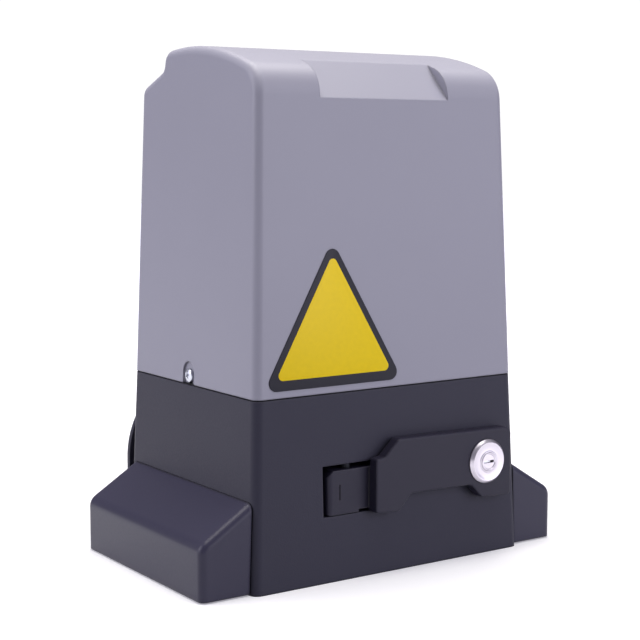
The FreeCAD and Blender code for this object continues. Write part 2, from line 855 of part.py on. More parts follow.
def screw_recess(side):
    """The open-bottomed recess and slot round one hood screw."""
    face = seam_half_width - (cover_screw_height - seam_height) * math.tan(math.radians(cover_side_draft))
    x0, x1 = sorted((side * (face - screw_recess_depth), side * (face + 2)))
    centre = cover_screw_height + screw_recess_rise
    bowl = joined(round_bar("x", cover_screw_y, centre, screw_recess_radius, x0, x1),
                  block(x0, x1, cover_screw_y - screw_recess_radius, cover_screw_y + screw_recess_radius,
                        cover_bottom - 1, centre))
    slot_radius_here = cover_screw_radius + screw_slot_clearance
    s0, s1 = sorted((side * (face - cover_wall - 1), side * (face + 1)))
    slot = joined(round_bar("x", cover_screw_y, cover_screw_height, slot_radius_here, s0, s1),
                  block(s0, s1, cover_screw_y - slot_radius_here, cover_screw_y + slot_radius_here,
                        cover_bottom - 1, cover_screw_height))
    return bowl.fuse(slot)


def make_upper_cover():
    outer = hood_block(0, cover_bottom)
    outer = outer.cut([recess_wedge(0), recess_crease()])
    inner = hood_block(cover_wall, cover_bottom - 2)
    inner = inner.cut(recess_wedge(cover_wall))
    shell = outer.cut(inner)
    notch = block(limit_x - limit_notch_half_width, limit_x + limit_notch_half_width,
                  seam_half_depth - 3 * cover_wall,
                  seam_half_depth + 1, cover_bottom - 1, limit_notch_top)
    return shell.cut([screw_recess(-1), screw_recess(1), notch])


def make_cover_screws():
    screws = []
    for side in (-1, 1):
        face = seam_half_width - (cover_screw_height - seam_height) * math.tan(math.radians(cover_side_draft))
        seat = face - screw_recess_depth + 0.05
        head = cover_screw_head_radius
        x0, x1 = sorted((side * seat, side * (seat + cover_screw_head_height)))
        cap = round_bar("x", cover_screw_y, cover_screw_height, head, x0, x1)
        rim = [e for e in cap.Edges if abs(abs(e.CenterOfMass.x) - (seat + cover_screw_head_height)) < 0.01
               and e.Length > head]
        cap = cap.makeFillet(cover_screw_head_height * 0.6, rim)
        s0, s1 = sorted((side * seat, side * (seat - cover_screw_length)))
        screws.append(cap.fuse(round_bar("x", cover_screw_y, cover_screw_height, cover_screw_radius - 0.02,
                                         s0, s1)))
    return Part.makeCompound(screws)


def make_seam_gasket():
    return seam_ring(gasket_inset, gasket_width, base_top, cover_bottom)


# ---------------------------------------------------------------- foot covers
def make_foot_cover(side):
    """A hollow clip-on cover over one pair of mounting ears, open below and towards the body."""
    def body_side(z):
        return base_half_width - z * base_slope + foot_body_gap

    outline = [(body_side(foot_lift), foot_lift), (foot_reach, foot_lift),
               (foot_reach, foot_shoulder, foot_edge_radius * 2),
               (body_side(foot_top), foot_top)]
    solid = prism("y", outline, foot_front, foot_rear)
    slope_edges = [e for e in solid.Edges
                   if (abs(e.CenterOfMass.y - foot_front) < 0.01 or abs(e.CenterOfMass.y - foot_rear) < 0.01)
                   and e.CenterOfMass.x > base_half_width + 1 and e.CenterOfMass.z > foot_lift + 1]
    solid = solid.makeFillet(foot_edge_radius, slope_edges)
    w = foot_wall
    drop = (foot_top - foot_shoulder) / (foot_reach - body_side(foot_top))
    shrink = w * math.hypot(1, drop)
    inner_start = base_half_width - base_wall
    hollow = [(inner_start, foot_lift - 1), (foot_reach - w, foot_lift - 1),
              (foot_reach - w, foot_shoulder + w * drop - shrink, foot_edge_radius),
              (inner_start, foot_top + (body_side(foot_top) - inner_start) * drop - shrink)]
    cavity = prism("y", hollow, foot_front + w, foot_rear - w)
    solid = solid.cut(cavity)
    if side < 0:
        solid = solid.mirror(V(0, 0, 0), V(1, 0, 0))
    return solid


# ---------------------------------------------------------------- gearbox
wheel_pitch_radius = worm_module * wheel_teeth / 2
worm_tip_radius = worm_pitch_radius + worm_module
worm_root_radius = worm_pitch_radius - 1.25 * worm_module
worm_lead = math.pi * worm_module
worm_bore_inner = worm_tip_radius + worm_tube_gap
worm_tube_outer = worm_bore_inner + worm_tube_wall
wheel_front = worm_y - wheel_face / 2
wheel_rear = worm_y + wheel_face / 2
hub_start = worm_y - hub_front
hub_end = worm_y + hub_rear
case_front = hub_start - case_clearance
front_bearing_start = case_front - front_bearing_size[2]
boss_front = front_bearing_start - case_front_wall
tail_bearing_start = floor_thickness + tail_bearing_lift
worm_low = axis_z - worm_length / 2
worm_high = axis_z + worm_length / 2
motor_bearing_start = motor_seat_height + motor_bearing_lift


def make_gearbox_housing():
    """Wheel case lying along Y with its bearing boss, crossed by the upright tube of the worm."""
    case = round_bar("y", axis_x, axis_z, case_outer_radius, case_front - case_front_wall, case_rear)
    flange = round_bar("y", axis_x, axis_z, case_flange_radius, case_rear - case_flange_thickness, case_rear)
    boss = round_bar("y", axis_x, axis_z, front_bearing_size[1] + boss_wall, boss_front, case_front)
    worm_tube = round_bar("z", motor_x, worm_y, worm_tube_outer, floor_thickness, motor_seat_height - 1)
    seat = round_bar("z", motor_x, worm_y, motor_seat_radius, motor_seat_height - motor_seat_thickness,
                     motor_seat_height)
    foot = block(axis_x - case_foot_half_width, axis_x + case_foot_half_width, case_front, case_rear - 1,
                 floor_thickness, case_foot_height)
    post = round_bar("z", shelf_post_x, shelf_post_y, shelf_post_radius, axis_z + case_inner_radius * shelf_post_root,
                     shelf_level)
    above_floor = block(-base_half_width, base_half_width, -base_half_depth, base_half_depth, floor_thickness,
                        shelf_level + 1)
    rim_inner = seam_half_depth - rim_inset - rim_thickness
    rim_room = block(-base_half_width, base_half_width, rim_inner - seat_gap, case_rear + 1,
                     base_top - rim_root - seat_gap, base_half_width + base_top)
    body = joined(case, flange, boss, worm_tube, seat, foot, post).common(above_floor).cut(rim_room)
    cavity = round_bar("y", axis_x, axis_z, case_inner_radius, case_front, case_rear + 1)
    bearing_seat = round_bar("y", axis_x, axis_z, front_bearing_size[1], front_bearing_start, case_front + 1)
    rod_way = round_bar("y", axis_x, axis_z, shaft_front_radius - 2, boss_front - 1, case_front)
    worm_way = round_bar("z", motor_x, worm_y, worm_bore_inner, tail_bearing_start + tail_bearing_size[2],
                         motor_seat_height + 1)
    tail_seat = round_bar("z", motor_x, worm_y, tail_bearing_size[1], tail_bearing_start, motor_seat_height)
    screw_holes = [round_bar("y", x, z, end_screw_radius, case_rear - case_flange_thickness - 1,
                             case_rear + 1)
                   for x, z in end_screw_places()]
    return body.cut([cavity, bearing_seat, rod_way, worm_way, tail_seat, *screw_holes])


def end_screw_places():
    """Centres of the end cover's screws, spread over the arch and clear of its straight legs."""
    first = -30.0
    step = 240.0 / (end_screw_count - 1)
    return [(axis_x + end_screw_circle * math.cos(math.radians(first + i * step)),
             axis_z + end_screw_circle * math.sin(math.radians(first + i * step)))
            for i in range(end_screw_count)]


def make_gearbox_end_cover():
    """The arch-shaped casting behind the body: rim, neck, spigot and the rear bearing's boss."""
    neck_start = pad_rear + end_gap_depth
    rim_start = end_cover_rear - end_rim_thickness
    bearing_outer = rear_bearing_size[1]
    bearing_start = end_cover_rear - seal_size[2] - rear_bearing_size[2] - boss_wall
    spigot_start = pad_rear - spigot_depth
    gap_ring = arch(end_gap_radius, pad_rear, neck_start)
    neck = arch(end_neck_radius, neck_start, rim_start)
    rim = arch(end_rim_radius, rim_start, end_cover_rear)
    spigot = round_bar("y", axis_x, axis_z, case_inner_radius - 0.1, spigot_start, pad_rear)
    body = joined(gap_ring, neck, rim, spigot)
    hollow = tube("y", axis_x, axis_z, bearing_outer + boss_wall, case_inner_radius - spigot_wall,
                  spigot_start - 1,
                  end_cover_rear - end_plate)
    mouth = round_bar("y", axis_x, axis_z, case_inner_radius - spigot_wall, spigot_start - 1,
                      bearing_start - 1)
    bearing_seat = round_bar("y", axis_x, axis_z, bearing_outer, bearing_start - 2,
                             bearing_start + rear_bearing_size[2])
    seal_seat = round_bar("y", axis_x, axis_z, seal_size[1], end_cover_rear - seal_size[2],
                          end_cover_rear + 1)
    shaft_hole = round_bar("y", axis_x, axis_z, shaft_radius + 1, spigot_start, end_cover_rear + 1)
    cuts = [hollow, mouth, bearing_seat, seal_seat, shaft_hole]
    for x, z in end_screw_places():
        cuts.append(round_bar("y", x, z, end_screw_radius + bolt_gap, pad_rear - 1, end_cover_rear + 1))
        cuts.append(round_bar("y", x, z, end_screw_head_radius + 2 * bolt_gap,
                              end_cover_rear - end_screw_recess,
                              end_cover_rear + 1))
    return body.cut(cuts)


def make_end_cover_screws():
    screws = []
    seat = end_cover_rear - end_screw_recess
    for x, z in end_screw_places():
        head = round_bar("y", x, z, end_screw_head_radius, seat, seat + end_screw_head_height)
        socket = prism("y", polygon(6, end_screw_head_radius, x, z), seat + 2, seat + end_screw_head_height)
        shank = round_bar("y", x, z, end_screw_radius - 0.02, seat - end_screw_length, seat)
        screws.append(head.fuse(shank).cut(socket))
    return Part.makeCompound(screws)


def make_worm():
    """A single-start right-hand worm as flat facets round a root drum, with an eight-sided bore."""
    thread_half = worm_lead / 4 - tooth_backlash / 4
    slope = math.tan(math.radians(pressure_angle))
    tip_half = thread_half - worm_module * slope
    root_half = thread_half + 1.25 * worm_module * slope
    depth_root = worm_root_radius - 0.6
    turns = (worm_length - worm_lead - 1.0) / worm_lead
    steps = int(turns * worm_segments)
    rings = []
    for i in range(steps + 1):
        turn = (i - steps / 2) / worm_segments
        angle = math.pi + 2 * math.pi * turn
        level = axis_z + worm_lead * turn
        ring = []
        sunk = root_half + 0.6 * slope
        for radius, offset in ((depth_root, -sunk), (worm_tip_radius, -tip_half), (worm_tip_radius, tip_half),
                               (depth_root, sunk)):
            ring.append(V(motor_x + radius * math.cos(angle), worm_y + radius * math.sin(angle),
                          level + offset))
        rings.append(ring)
    thread = facet_solid(rings, True)
    drum = prism("z", polygon(worm_segments, 2 * worm_root_radius, motor_x, worm_y), worm_low, worm_high)
    bore = prism("z", polygon(8, worm_bore_flats, motor_x, worm_y), worm_low, worm_high)
    return drum.fuse(thread).cut(bore)


def make_worm_wheel_rim():
    """The toothed bronze ring. Its teeth lean with the worm's lead, and a gap faces the worm at rest."""
    points = spur_outline(worm_module, wheel_teeth, tooth_backlash, 3)
    lead_slope = worm_lead / (2 * math.pi * worm_pitch_radius)
    half_pitch = math.pi / wheel_teeth
    rings = []
    for y in (wheel_front, wheel_rear):
        lean = (y - worm_y) * lead_slope / wheel_pitch_radius
        ring = []
        for angle, radius in points:
            turned = angle + half_pitch - lean
            ring.append(V(axis_x + radius * math.cos(turned), y, axis_z + radius * math.sin(turned)))
        rings.append(ring)
    body = facet_solid(rings, True)
    bore = prism("y", polygon(rim_bore_sides, 2 * rim_bore_radius, axis_x, axis_z), wheel_front, wheel_rear)
    return body.cut(bore)


def dog_ring(start, end, turn):
    """The clutch's dogs, spread evenly round the shaft."""
    dogs = []
    for i in range(dog_count):
        sector = Part.makeCylinder(dog_outer_radius, end - start, V(0, 0, 0), V(0, 0, 1), dog_angle)
        core = Part.makeCylinder(dog_inner_radius, end - start, V(0, 0, 0), V(0, 0, 1))
        dog = sector.cut(core)
        dog.rotate(V(0, 0, 0), V(0, 0, 1), turn + i * 360.0 / dog_count)
        dog.rotate(V(0, 0, 0), V(1, 0, 0), -90)
        dog.translate(V(axis_x, start, axis_z))
        dogs.append(dog)
    return dogs


def make_worm_wheel_hub():
    drum = round_bar("y", axis_x, axis_z, dog_outer_radius, hub_start, hub_end)
    seat = prism("y", polygon(rim_bore_sides, 2 * rim_bore_radius, axis_x, axis_z), wheel_front, wheel_rear)
    dogs = dog_ring(hub_end, hub_end + dog_height, 0.0)
    bore = round_bar("y", axis_x, axis_z, shaft_radius + running_gap, hub_start - 1, hub_end + 1)
    return joined(drum, seat, *dogs).cut(bore)


sleeve_start = hub_end + dog_height + dog_face_gap
sleeve_end = sleeve_start + sleeve_length
collar_start = sleeve_end + spring_length + 2 * spring_end_gap
pin_y = sleeve_start + sleeve_length / 2
shaft_front = front_bearing_start + shaft_nose_gap
rod_tip = pivot_y + heel_back + seat_gap + rod_rest_gap
rear_bearing_start = end_cover_rear - seal_size[2] - rear_bearing_size[2] - boss_wall
pinion_end = pinion_start + pinion_width


def make_clutch_sleeve():
    body = round_bar("y", axis_x, axis_z, sleeve_radius, sleeve_start, sleeve_end)
    dogs = dog_ring(hub_end + dog_face_gap, sleeve_start, 180.0 / dog_count)
    bore = prism("y", polygon(6, sleeve_flats + 2 * sleeve_gap, axis_x, axis_z), sleeve_start - 1,
                 sleeve_end + 1)
    pin_way = round_bar("z", axis_x, pin_y, cross_pin_radius, axis_z - sleeve_radius - 1,
                        axis_z + sleeve_radius + 1)
    return joined(body, *dogs).cut([bore, pin_way])


def make_output_shaft():
    """A stepped shaft with a six-sided length for the clutch and a bore for the push rod."""
    nose = round_bar("y", axis_x, axis_z, shaft_front_radius, shaft_front, hub_start)
    middle = round_bar("y", axis_x, axis_z, shaft_radius, hub_start, hub_end)
    spline = prism("y", polygon(6, sleeve_flats, axis_x, axis_z), hub_end, collar_start + collar_thickness)
    tail = round_bar("y", axis_x, axis_z, shaft_radius, collar_start + collar_thickness, pinion_end)
    body = joined(nose, middle, spline, tail)
    bore = round_bar("y", axis_x, axis_z, rod_radius + rod_gap, shaft_front - 1,
                     pin_y + clutch_travel + cross_pin_radius + 4)
    slot_start = pin_y - cross_pin_radius - rod_gap
    slot_end = pin_y + clutch_travel + cross_pin_radius + rod_gap
    slot = block(axis_x - cross_pin_radius - rod_gap, axis_x + cross_pin_radius + rod_gap, slot_start,
                 slot_end,
                 axis_z - sleeve_flats, axis_z + sleeve_flats)
    keyway = block(axis_x - key_width / 2, axis_x + key_width / 2, pinion_end - key_length - 2,
                   pinion_end - 2,
                   axis_z + shaft_radius - key_height * 0.6, axis_z + shaft_radius + 1)
    thread = round_bar("y", axis_x, axis_z, pinion_bolt_radius, pinion_end - pinion_bolt_length,
                       pinion_end + 1)
    return body.cut([bore, slot, keyway, thread])


def make_pinion():
    points = spur_outline(pinion_module, pinion_teeth, tooth_backlash, 4)
    corners = [(axis_x + r * math.cos(a), axis_z + r * math.sin(a)) for a, r in points]
    body = prism("y", corners, pinion_start + pinion_hub_length, pinion_end)
    hub = round_bar("y", axis_x, axis_z, pinion_hub_radius, pinion_start, pinion_start + pinion_hub_length)
    bore = round_bar("y", axis_x, axis_z, shaft_radius, pinion_start - 1, pinion_end + 1)
    keyway = block(axis_x - key_width / 2, axis_x + key_width / 2, pinion_start - 1, pinion_end + 1, axis_z,
                   axis_z + shaft_radius + key_height * 0.4)
    return joined(body, hub).cut([bore, keyway])


def make_pinion_key():
    return block(axis_x - key_width / 2, axis_x + key_width / 2, pinion_end - key_length - 2, pinion_end - 2,
                 axis_z + shaft_radius - key_height * 0.6, axis_z + shaft_radius + key_height * 0.4)


def make_pinion_washer():
    return tube("y", axis_x, axis_z, pinion_bolt_radius + bolt_gap, washer_radius, pinion_end,
                pinion_end + washer_thickness)


def make_pinion_bolt():
    start = pinion_end + washer_thickness
    head = prism("y", polygon(6, pinion_bolt_head, axis_x, axis_z), start, start + pinion_bolt_head_height)
    shank = round_bar("y", axis_x, axis_z, pinion_bolt_radius - 0.02, pinion_end - pinion_bolt_length + 2,
                      start)
    return head.fuse(shank)


def make_output_seal():
    bore, outer, width = seal_size
    body = tube("y", axis_x, axis_z, bore + running_gap, outer, end_cover_rear - width, end_cover_rear)
    lip = tube("y", axis_x, axis_z, bore + 2, outer - 2, end_cover_rear - 1.5, end_cover_rear)
    return body.cut(lip)


def make_clutch_push_rod():
    rod = round_bar("y", axis_x, axis_z, rod_radius, rod_tip + rod_radius, pin_y + cross_pin_radius + 3)
    nose = Part.makeSphere(rod_radius, V(axis_x, rod_tip + rod_radius, axis_z))
    hole = round_bar("z", axis_x, pin_y, cross_pin_radius, axis_z - rod_radius - 1, axis_z + rod_radius + 1)
    return joined(rod, nose).cut(hole)


def make_clutch_cross_pin():
    reach = sleeve_radius - 0.5
    return round_bar("z", axis_x, pin_y, cross_pin_radius, axis_z - reach, axis_z + reach)


def make_clutch_spring():
    return coil(axis_x, axis_z, spring_radius, spring_wire, spring_turns, sleeve_end + spring_end_gap,
                spring_length, spring_segments)


def make_spring_collar():
    body = round_bar("y", axis_x, axis_z, collar_radius, collar_start, collar_start + collar_thickness)
    bore = prism("y", polygon(6, sleeve_flats, axis_x, axis_z), collar_start - 1,
                 collar_start + collar_thickness + 1)
    return body.cut(bore)


# ---------------------------------------------------------------- release lever and lock
lever_back = lever_front + lever_thickness


def make_release_lever():
    """The swinging arm: a flat plate in front of the body and a cam heel on its pivot pin."""
    plate = prism("y", list(lever_outline), lever_front, lever_back)
    front_edges = [e for e in plate.Edges if abs(e.CenterOfMass.y - lever_front) < 0.001]
    plate = plate.makeFillet(lever_edge_radius, front_edges)
    x, y = axis_x, pivot_y
    left_front = (x - heel_left, y - heel_front)
    corner = V(x - heel_left, y - heel_front + heel_nose_radius, 0)
    turn = math.sqrt(0.5)
    points = [
        V(x + heel_right, y - heel_front, 0), V(left_front[0] + heel_nose_radius, left_front[1], 0),
        V(left_front[0] + heel_nose_radius * (1 - turn), left_front[1] + heel_nose_radius * (1 - turn), 0),
        corner,
        V(x - heel_left, y, 0), V(x - cam_bulge, y + cam_bulge, 0), V(x, y + heel_back, 0),
        V(x + heel_right, y + heel_back, 0),
    ]
    edges = [
        Part.makeLine(points[0], points[1]),
        Part.Arc(points[1], points[2], points[3]).toShape(),
        Part.makeLine(points[3], points[4]),
        Part.Arc(points[4], points[5], points[6]).toShape(),
        Part.makeLine(points[6], points[7]),
        Part.makeLine(points[7], points[0]),
    ]
    heel = Part.Face(Part.Wire(edges)).extrude(V(0, 0, heel_high - heel_low))
    heel.translate(V(0, 0, heel_low))
    face = y - heel_front
    neck = block(lever_outline[0][0], x + heel_right, lever_back - 1, face + 1, heel_low, heel_high)
    bevel = prism("y", [(x - heel_left, heel_high - heel_bevel), (x - heel_left + heel_bevel, heel_high),
                        (x - heel_left, heel_high)], face, y + heel_back)
    slit_x, slit_low, slit_high = heel_slit
    slit = block(slit_x - heel_slit_width / 2, slit_x + heel_slit_width / 2, face, face + 2 * heel_slit_width,
                 slit_low, slit_high)
    notch = block(heel_notch_start, lever_outline[0][0], face, y - heel_nose_radius, heel_low,
                  heel_low + heel_notch_height)
    heel = heel.cut([bevel, slit, notch])
    bore = round_bar("z", x, y, pivot_pin_radius + running_gap, heel_low - 1, heel_high + 1)
    lock_bore = round_bar("y", lock_x, lock_z, barrel_radius + bolt_gap, lever_front - 1, lever_back + 1)
    return joined(plate, heel, neck).cut([bore, lock_bore])


def make_lever_pin():
    """A plain dowel pressed through the pocket's floor and roof."""
    pin = round_bar("z", axis_x, pivot_y, pivot_pin_radius, pocket_low - pocket_wall,
                    pocket_high + pocket_wall)
    return pin.makeChamfer(pivot_pin_chamfer, [e for e in pin.Edges if e.BoundBox.ZLength < 0.1])


def make_lock_body():
    ring = round_bar("y", lock_x, lock_z, escutcheon_radius, lever_front - escutcheon_height, lever_front)
    rim = [e for e in ring.Edges if abs(e.CenterOfMass.y - lever_front + escutcheon_height) < 0.001]
    ring = ring.makeChamfer(escutcheon_bevel, rim)
    barrel = round_bar("y", lock_x, lock_z, barrel_radius, lever_front, barrel_rear)
    core = round_bar("y", lock_x, lock_z, plug_radius + running_gap, lever_front - escutcheon_height - 1,
                     barrel_rear + 1)
    return joined(ring, barrel).cut(core)


def make_lock_nut():
    nut = prism("y", polygon(6, lock_nut_flats, lock_x, lock_z), lever_back, lever_back + lock_nut_thickness)
    hole = round_bar("y", lock_x, lock_z, barrel_radius, lever_back - 1, lever_back + lock_nut_thickness + 1)
    return nut.cut(hole)


def make_lock_plug():
    plug = round_bar("y", lock_x, lock_z, plug_radius, plug_front, barrel_rear + 0.2)
    slot = block(lock_x - key_slot_length / 2, lock_x + key_slot_length / 2, plug_front - 1,
                 plug_front + key_slot_depth, lock_z - key_slot_width / 2, lock_z + key_slot_width / 2)
    return plug.cut(slot)


def make_lock_cam():
    """The flat tongue on the plug's tail. It hangs down when the lever is free to swing."""
    start = barrel_rear + 0.2
    r = cam_width / 2
    tongue = prism("y", [(lock_x - r, lock_z - cam_reach, r * 0.8), (lock_x + r, lock_z - cam_reach, r * 0.8),
                         (lock_x + r, lock_z + r), (lock_x - r, lock_z + r)], start, start + cam_thickness)
    return tongue.fuse(round_bar("y", lock_x, lock_z, plug_radius, start,
                                 start + cam_thickness)).removeSplitter()


# ---------------------------------------------------------------- motor
stack_low = motor_seat_height + lower_bell_height
stack_high = stack_low + stack_height
bell_top = stack_high + upper_bell_height
upper_bearing_start = bell_top - bell_floor - motor_bearing_size[2]


def motor_block(low, high, inset=0.0):
    return prism("z", rounded_square(motor_half_side - inset, motor_corner - inset, motor_x, worm_y), low,
                 high)


def bolt_holes(low, high, radius):
    return [round_bar("z", motor_x + sx * motor_bolt_offset, worm_y + sy * motor_bolt_offset, radius, low,
                      high)
            for sx in (-1, 1) for sy in (-1, 1)]


def bolt_pads(low, high):
    """Corner columns of a bell that the through bolts pass."""
    pads = [round_bar("z", motor_x + sx * motor_bolt_offset, worm_y + sy * motor_bolt_offset,
                      motor_bolt_radius + bell_wall, low, high) for sx in (-1, 1) for sy in (-1, 1)]
    return pads


def make_motor_lower_bell():
    """Lower end bell: a floor on the gearbox, a skirt up to the laminations and a bearing hub."""
    low = motor_seat_height
    cup = motor_block(low, stack_low).cut(motor_block(low + bell_floor, stack_low, bell_wall))
    hub = round_bar("z", motor_x, worm_y, hub_radius, low, motor_bearing_start + motor_bearing_size[2])
    pads = [p.common(motor_block(low, stack_low)) for p in bolt_pads(low, stack_low)]
    body = joined(cup, hub, *pads)
    seat = round_bar("z", motor_x, worm_y, motor_bearing_size[1], motor_bearing_start, stack_low)
    hole = round_bar("z", motor_x, worm_y, motor_shaft_radius + 1.5, low - 1, stack_low)
    return body.cut([seat, hole, *bolt_holes(low - 1, stack_low + 1, motor_bolt_radius)])


def make_motor_upper_bell():
    cup = motor_block(stack_high, bell_top).cut(motor_block(stack_high, bell_top - bell_floor, bell_wall))
    hub = round_bar("z", motor_x, worm_y, hub_radius, upper_bearing_start, bell_top)
    pads = [p.common(motor_block(stack_high, bell_top)) for p in bolt_pads(stack_high, bell_top)]
    body = joined(cup, hub, *pads)
    seat = round_bar("z", motor_x, worm_y, motor_bearing_size[1], upper_bearing_start - 1,
                     upper_bearing_start + motor_bearing_size[2])
    top_edges = [e for e in body.Edges if abs(e.CenterOfMass.z - bell_top) < 0.001]
    body = body.makeFillet(bell_wall - 1, top_edges)
    return body.cut([seat, *bolt_holes(stack_high - 1, bell_top + 1, motor_bolt_radius + bolt_gap)])


def make_stator_core():
    body = motor_block(stack_low, stack_high)
    bore = round_bar("z", motor_x, worm_y, stator_bore_radius, stack_low - 1, stack_high + 1)
    return body.cut([bore, *bolt_holes(stack_low - 1, stack_high + 1, motor_bolt_radius + bolt_gap)])


def make_stator_windings():
    """The end turns of the coils, above and below the laminations."""
    rings = []
    for low in (stack_low - winding_height, stack_high):
        ring = tube("z", motor_x, worm_y, winding_inner, winding_outer, low, low + winding_height)
        far = low if low < stack_low - 1 else low + winding_height
        edges = [e for e in ring.Edges if abs(e.CenterOfMass.z - far) < 0.001]
        rings.append(ring.makeFillet(winding_height / 3, edges))
    return Part.makeCompound(rings)


def make_rotor_core():
    """Laminated rotor with its cast end rings."""
    core = round_bar("z", motor_x, worm_y, stator_bore_radius - air_gap, stack_low + 2, stack_high - 2)
    rings = round_bar("z", motor_x, worm_y, rotor_ring_radius, stack_low + 2 - rotor_ring_height,
                      stack_high - 2 + rotor_ring_height)
    bore = round_bar("z", motor_x, worm_y, motor_shaft_radius, stack_low - rotor_ring_height,
                     stack_high + rotor_ring_height)
    return joined(core, rings).cut(bore)


def make_motor_shaft():
    tail = round_bar("z", motor_x, worm_y, tail_bearing_size[0], tail_bearing_start + 1, worm_low)
    drive = prism("z", polygon(8, worm_bore_flats, motor_x, worm_y), worm_low, worm_high)
    long = round_bar("z", motor_x, worm_y, motor_shaft_radius, worm_high,
                     upper_bearing_start + motor_bearing_size[2] - 1)
    return joined(tail, drive, long)


def make_motor_bolts():
    bolts = []
    low = motor_seat_height + bell_floor
    for sx in (-1, 1):
        for sy in (-1, 1):
            x = motor_x + sx * motor_bolt_offset
            y = worm_y + sy * motor_bolt_offset
            shank = round_bar("z", x, y, motor_bolt_radius - 0.02, low, bell_top)
            head = round_bar("z", x, y, motor_bolt_head_radius, bell_top, bell_top + motor_bolt_head_height)
            bolts.append(head.fuse(shank))
    return Part.makeCompound(bolts)


def make_capacitor():
    low = shelf_level + capacitor_cup_floor
    can = round_bar("z", capacitor_x, capacitor_y, capacitor_radius, low, low + capacitor_height)
    rims = [e for e in can.Edges if e.Length > capacitor_radius and e.BoundBox.ZLength < 0.1]
    can = can.makeFillet(1.2, rims)
    top = low + capacitor_height
    tabs = [block(capacitor_x + dx - 3, capacitor_x + dx + 3, capacitor_y - 0.4, capacitor_y + 0.4, top,
                  top + terminal_height) for dx in (-7, 7)]
    return joined(can, *tabs)


def make_capacitor_clamp():
    """A cup with a split collar that holds the capacitor on its post."""
    low = shelf_level
    outer = capacitor_radius + capacitor_cup_wall
    body = round_bar("z", capacitor_x, capacitor_y, outer, low,
                     low + capacitor_cup_floor + capacitor_cup_height)
    room = round_bar("z", capacitor_x, capacitor_y, capacitor_radius, low + capacitor_cup_floor,
                     low + capacitor_cup_floor + capacitor_cup_height + 1)
    split = block(capacitor_x - outer - 1, capacitor_x, capacitor_y - 1, capacitor_y + 1,
                  low + capacitor_cup_floor,
                  low + capacitor_cup_floor + capacitor_cup_height + 1)
    return body.cut([room, split])


# ---------------------------------------------------------------- control
board_rear_face = panel_x - sheet - standoff_height
board_front_face = board_rear_face - board_thickness


def make_control_bracket():
    """A bent sheet: a shelf on its posts and a panel that stands up beside the motor."""
    shelf = block(shelf_left, panel_x, shelf_front, shelf_rear, shelf_level, shelf_level + sheet)
    panel = block(panel_x - sheet, panel_x, shelf_front, panel_rear, shelf_level, panel_top)
    lug_room = block(shelf_left - 1, screw_lug_thickness + seat_gap - lug_face + 1,
                     cover_screw_y - screw_lug_width / 2 - 1, cover_screw_y + screw_lug_width / 2 + 1,
                     shelf_level - 1, shelf_level + sheet + 1)
    body = shelf.cut(lug_room).fuse(panel).removeSplitter()
    bend = [e for e in body.Edges
            if abs(e.CenterOfMass.x - panel_x) < 0.01 and abs(e.CenterOfMass.z - shelf_level) < 0.01]
    return body.makeFillet(sheet, bend)


def board_corners():
    return [(y, z) for y in (shelf_front + 2 * board_margin, panel_rear - 2 * board_margin)
            for z in (board_low + board_margin, board_high - board_margin)]


def make_board_standoffs():
    posts = []
    for y, z in board_corners():
        post = round_bar("x", y, z, standoff_radius, board_rear_face, panel_x - sheet)
        screw = round_bar("x", y, z, board_screw_radius, board_front_face - board_screw_height,
                          board_front_face)
        neck = round_bar("x", y, z, standoff_radius / 2, board_front_face, board_rear_face)
        posts.append(joined(post, neck, screw))
    return Part.makeCompound(posts)


def make_control_board():
    board = block(board_front_face, board_rear_face, shelf_front + board_margin, panel_rear - board_margin,
                  board_low,
                  board_high)
    return board.cut([round_bar("x", y, z, standoff_radius / 2, board_front_face - 1, board_rear_face + 1)
                      for y, z in board_corners()])


def on_board(size, middle_y, low):
    deep, wide, tall = size
    return block(board_front_face - deep, board_front_face, middle_y - wide / 2, middle_y + wide / 2, low,
                 low + tall)


def make_transformer():
    """Laminated core with its bobbin showing on both sides."""
    deep, wide, tall = transformer_size
    core = on_board(transformer_size, transformer_y, transformer_low)
    bobbin = on_board((deep - 6, wide + 8, tall * 0.55), transformer_y, transformer_low + tall * 0.22)
    return joined(core, bobbin)


def make_relays():
    first = relay_y - relay_pitch * (relay_count - 1) / 2
    return Part.makeCompound([on_board(relay_size, first + i * relay_pitch, relay_low)
                              for i in range(relay_count)])


def make_terminal_block():
    deep, wide, tall = terminal_size
    body = on_board(terminal_size, terminal_y, terminal_low)
    pitch = wide / terminal_ways
    first = terminal_y - wide / 2 + pitch / 2
    wide_half = pitch * terminal_mouth_share
    mouths = [block(board_front_face - deep - 1, board_front_face - deep + terminal_mouth_depth,
                    first + i * pitch - wide_half, first + i * pitch + wide_half,
                    terminal_low + terminal_mouth_low, terminal_low + terminal_mouth_high)
              for i in range(terminal_ways)]
    return body.cut(mouths)


def make_fuse_holder():
    return on_board(fuse_size, fuse_y, fuse_low)


def make_microcontroller():
    return on_board(chip_size, chip_y, chip_low)


# ---------------------------------------------------------------- limit switch and grommet
def make_limit_switch_body():
    """A box on the shelf, with a forked nose that holds the wand's pivot."""
    low = shelf_level + sheet
    body = block(limit_x - limit_half_width, limit_x + limit_half_width, limit_front, limit_nose, low,
                 limit_high)
    room = block(limit_x - limit_half_width + limit_roof, limit_x + limit_half_width - limit_roof,
                 limit_pivot_y - limit_knuckle_radius - limit_roof, limit_nose + 1, limit_low,
                 limit_high - limit_roof)
    return body.cut(room)


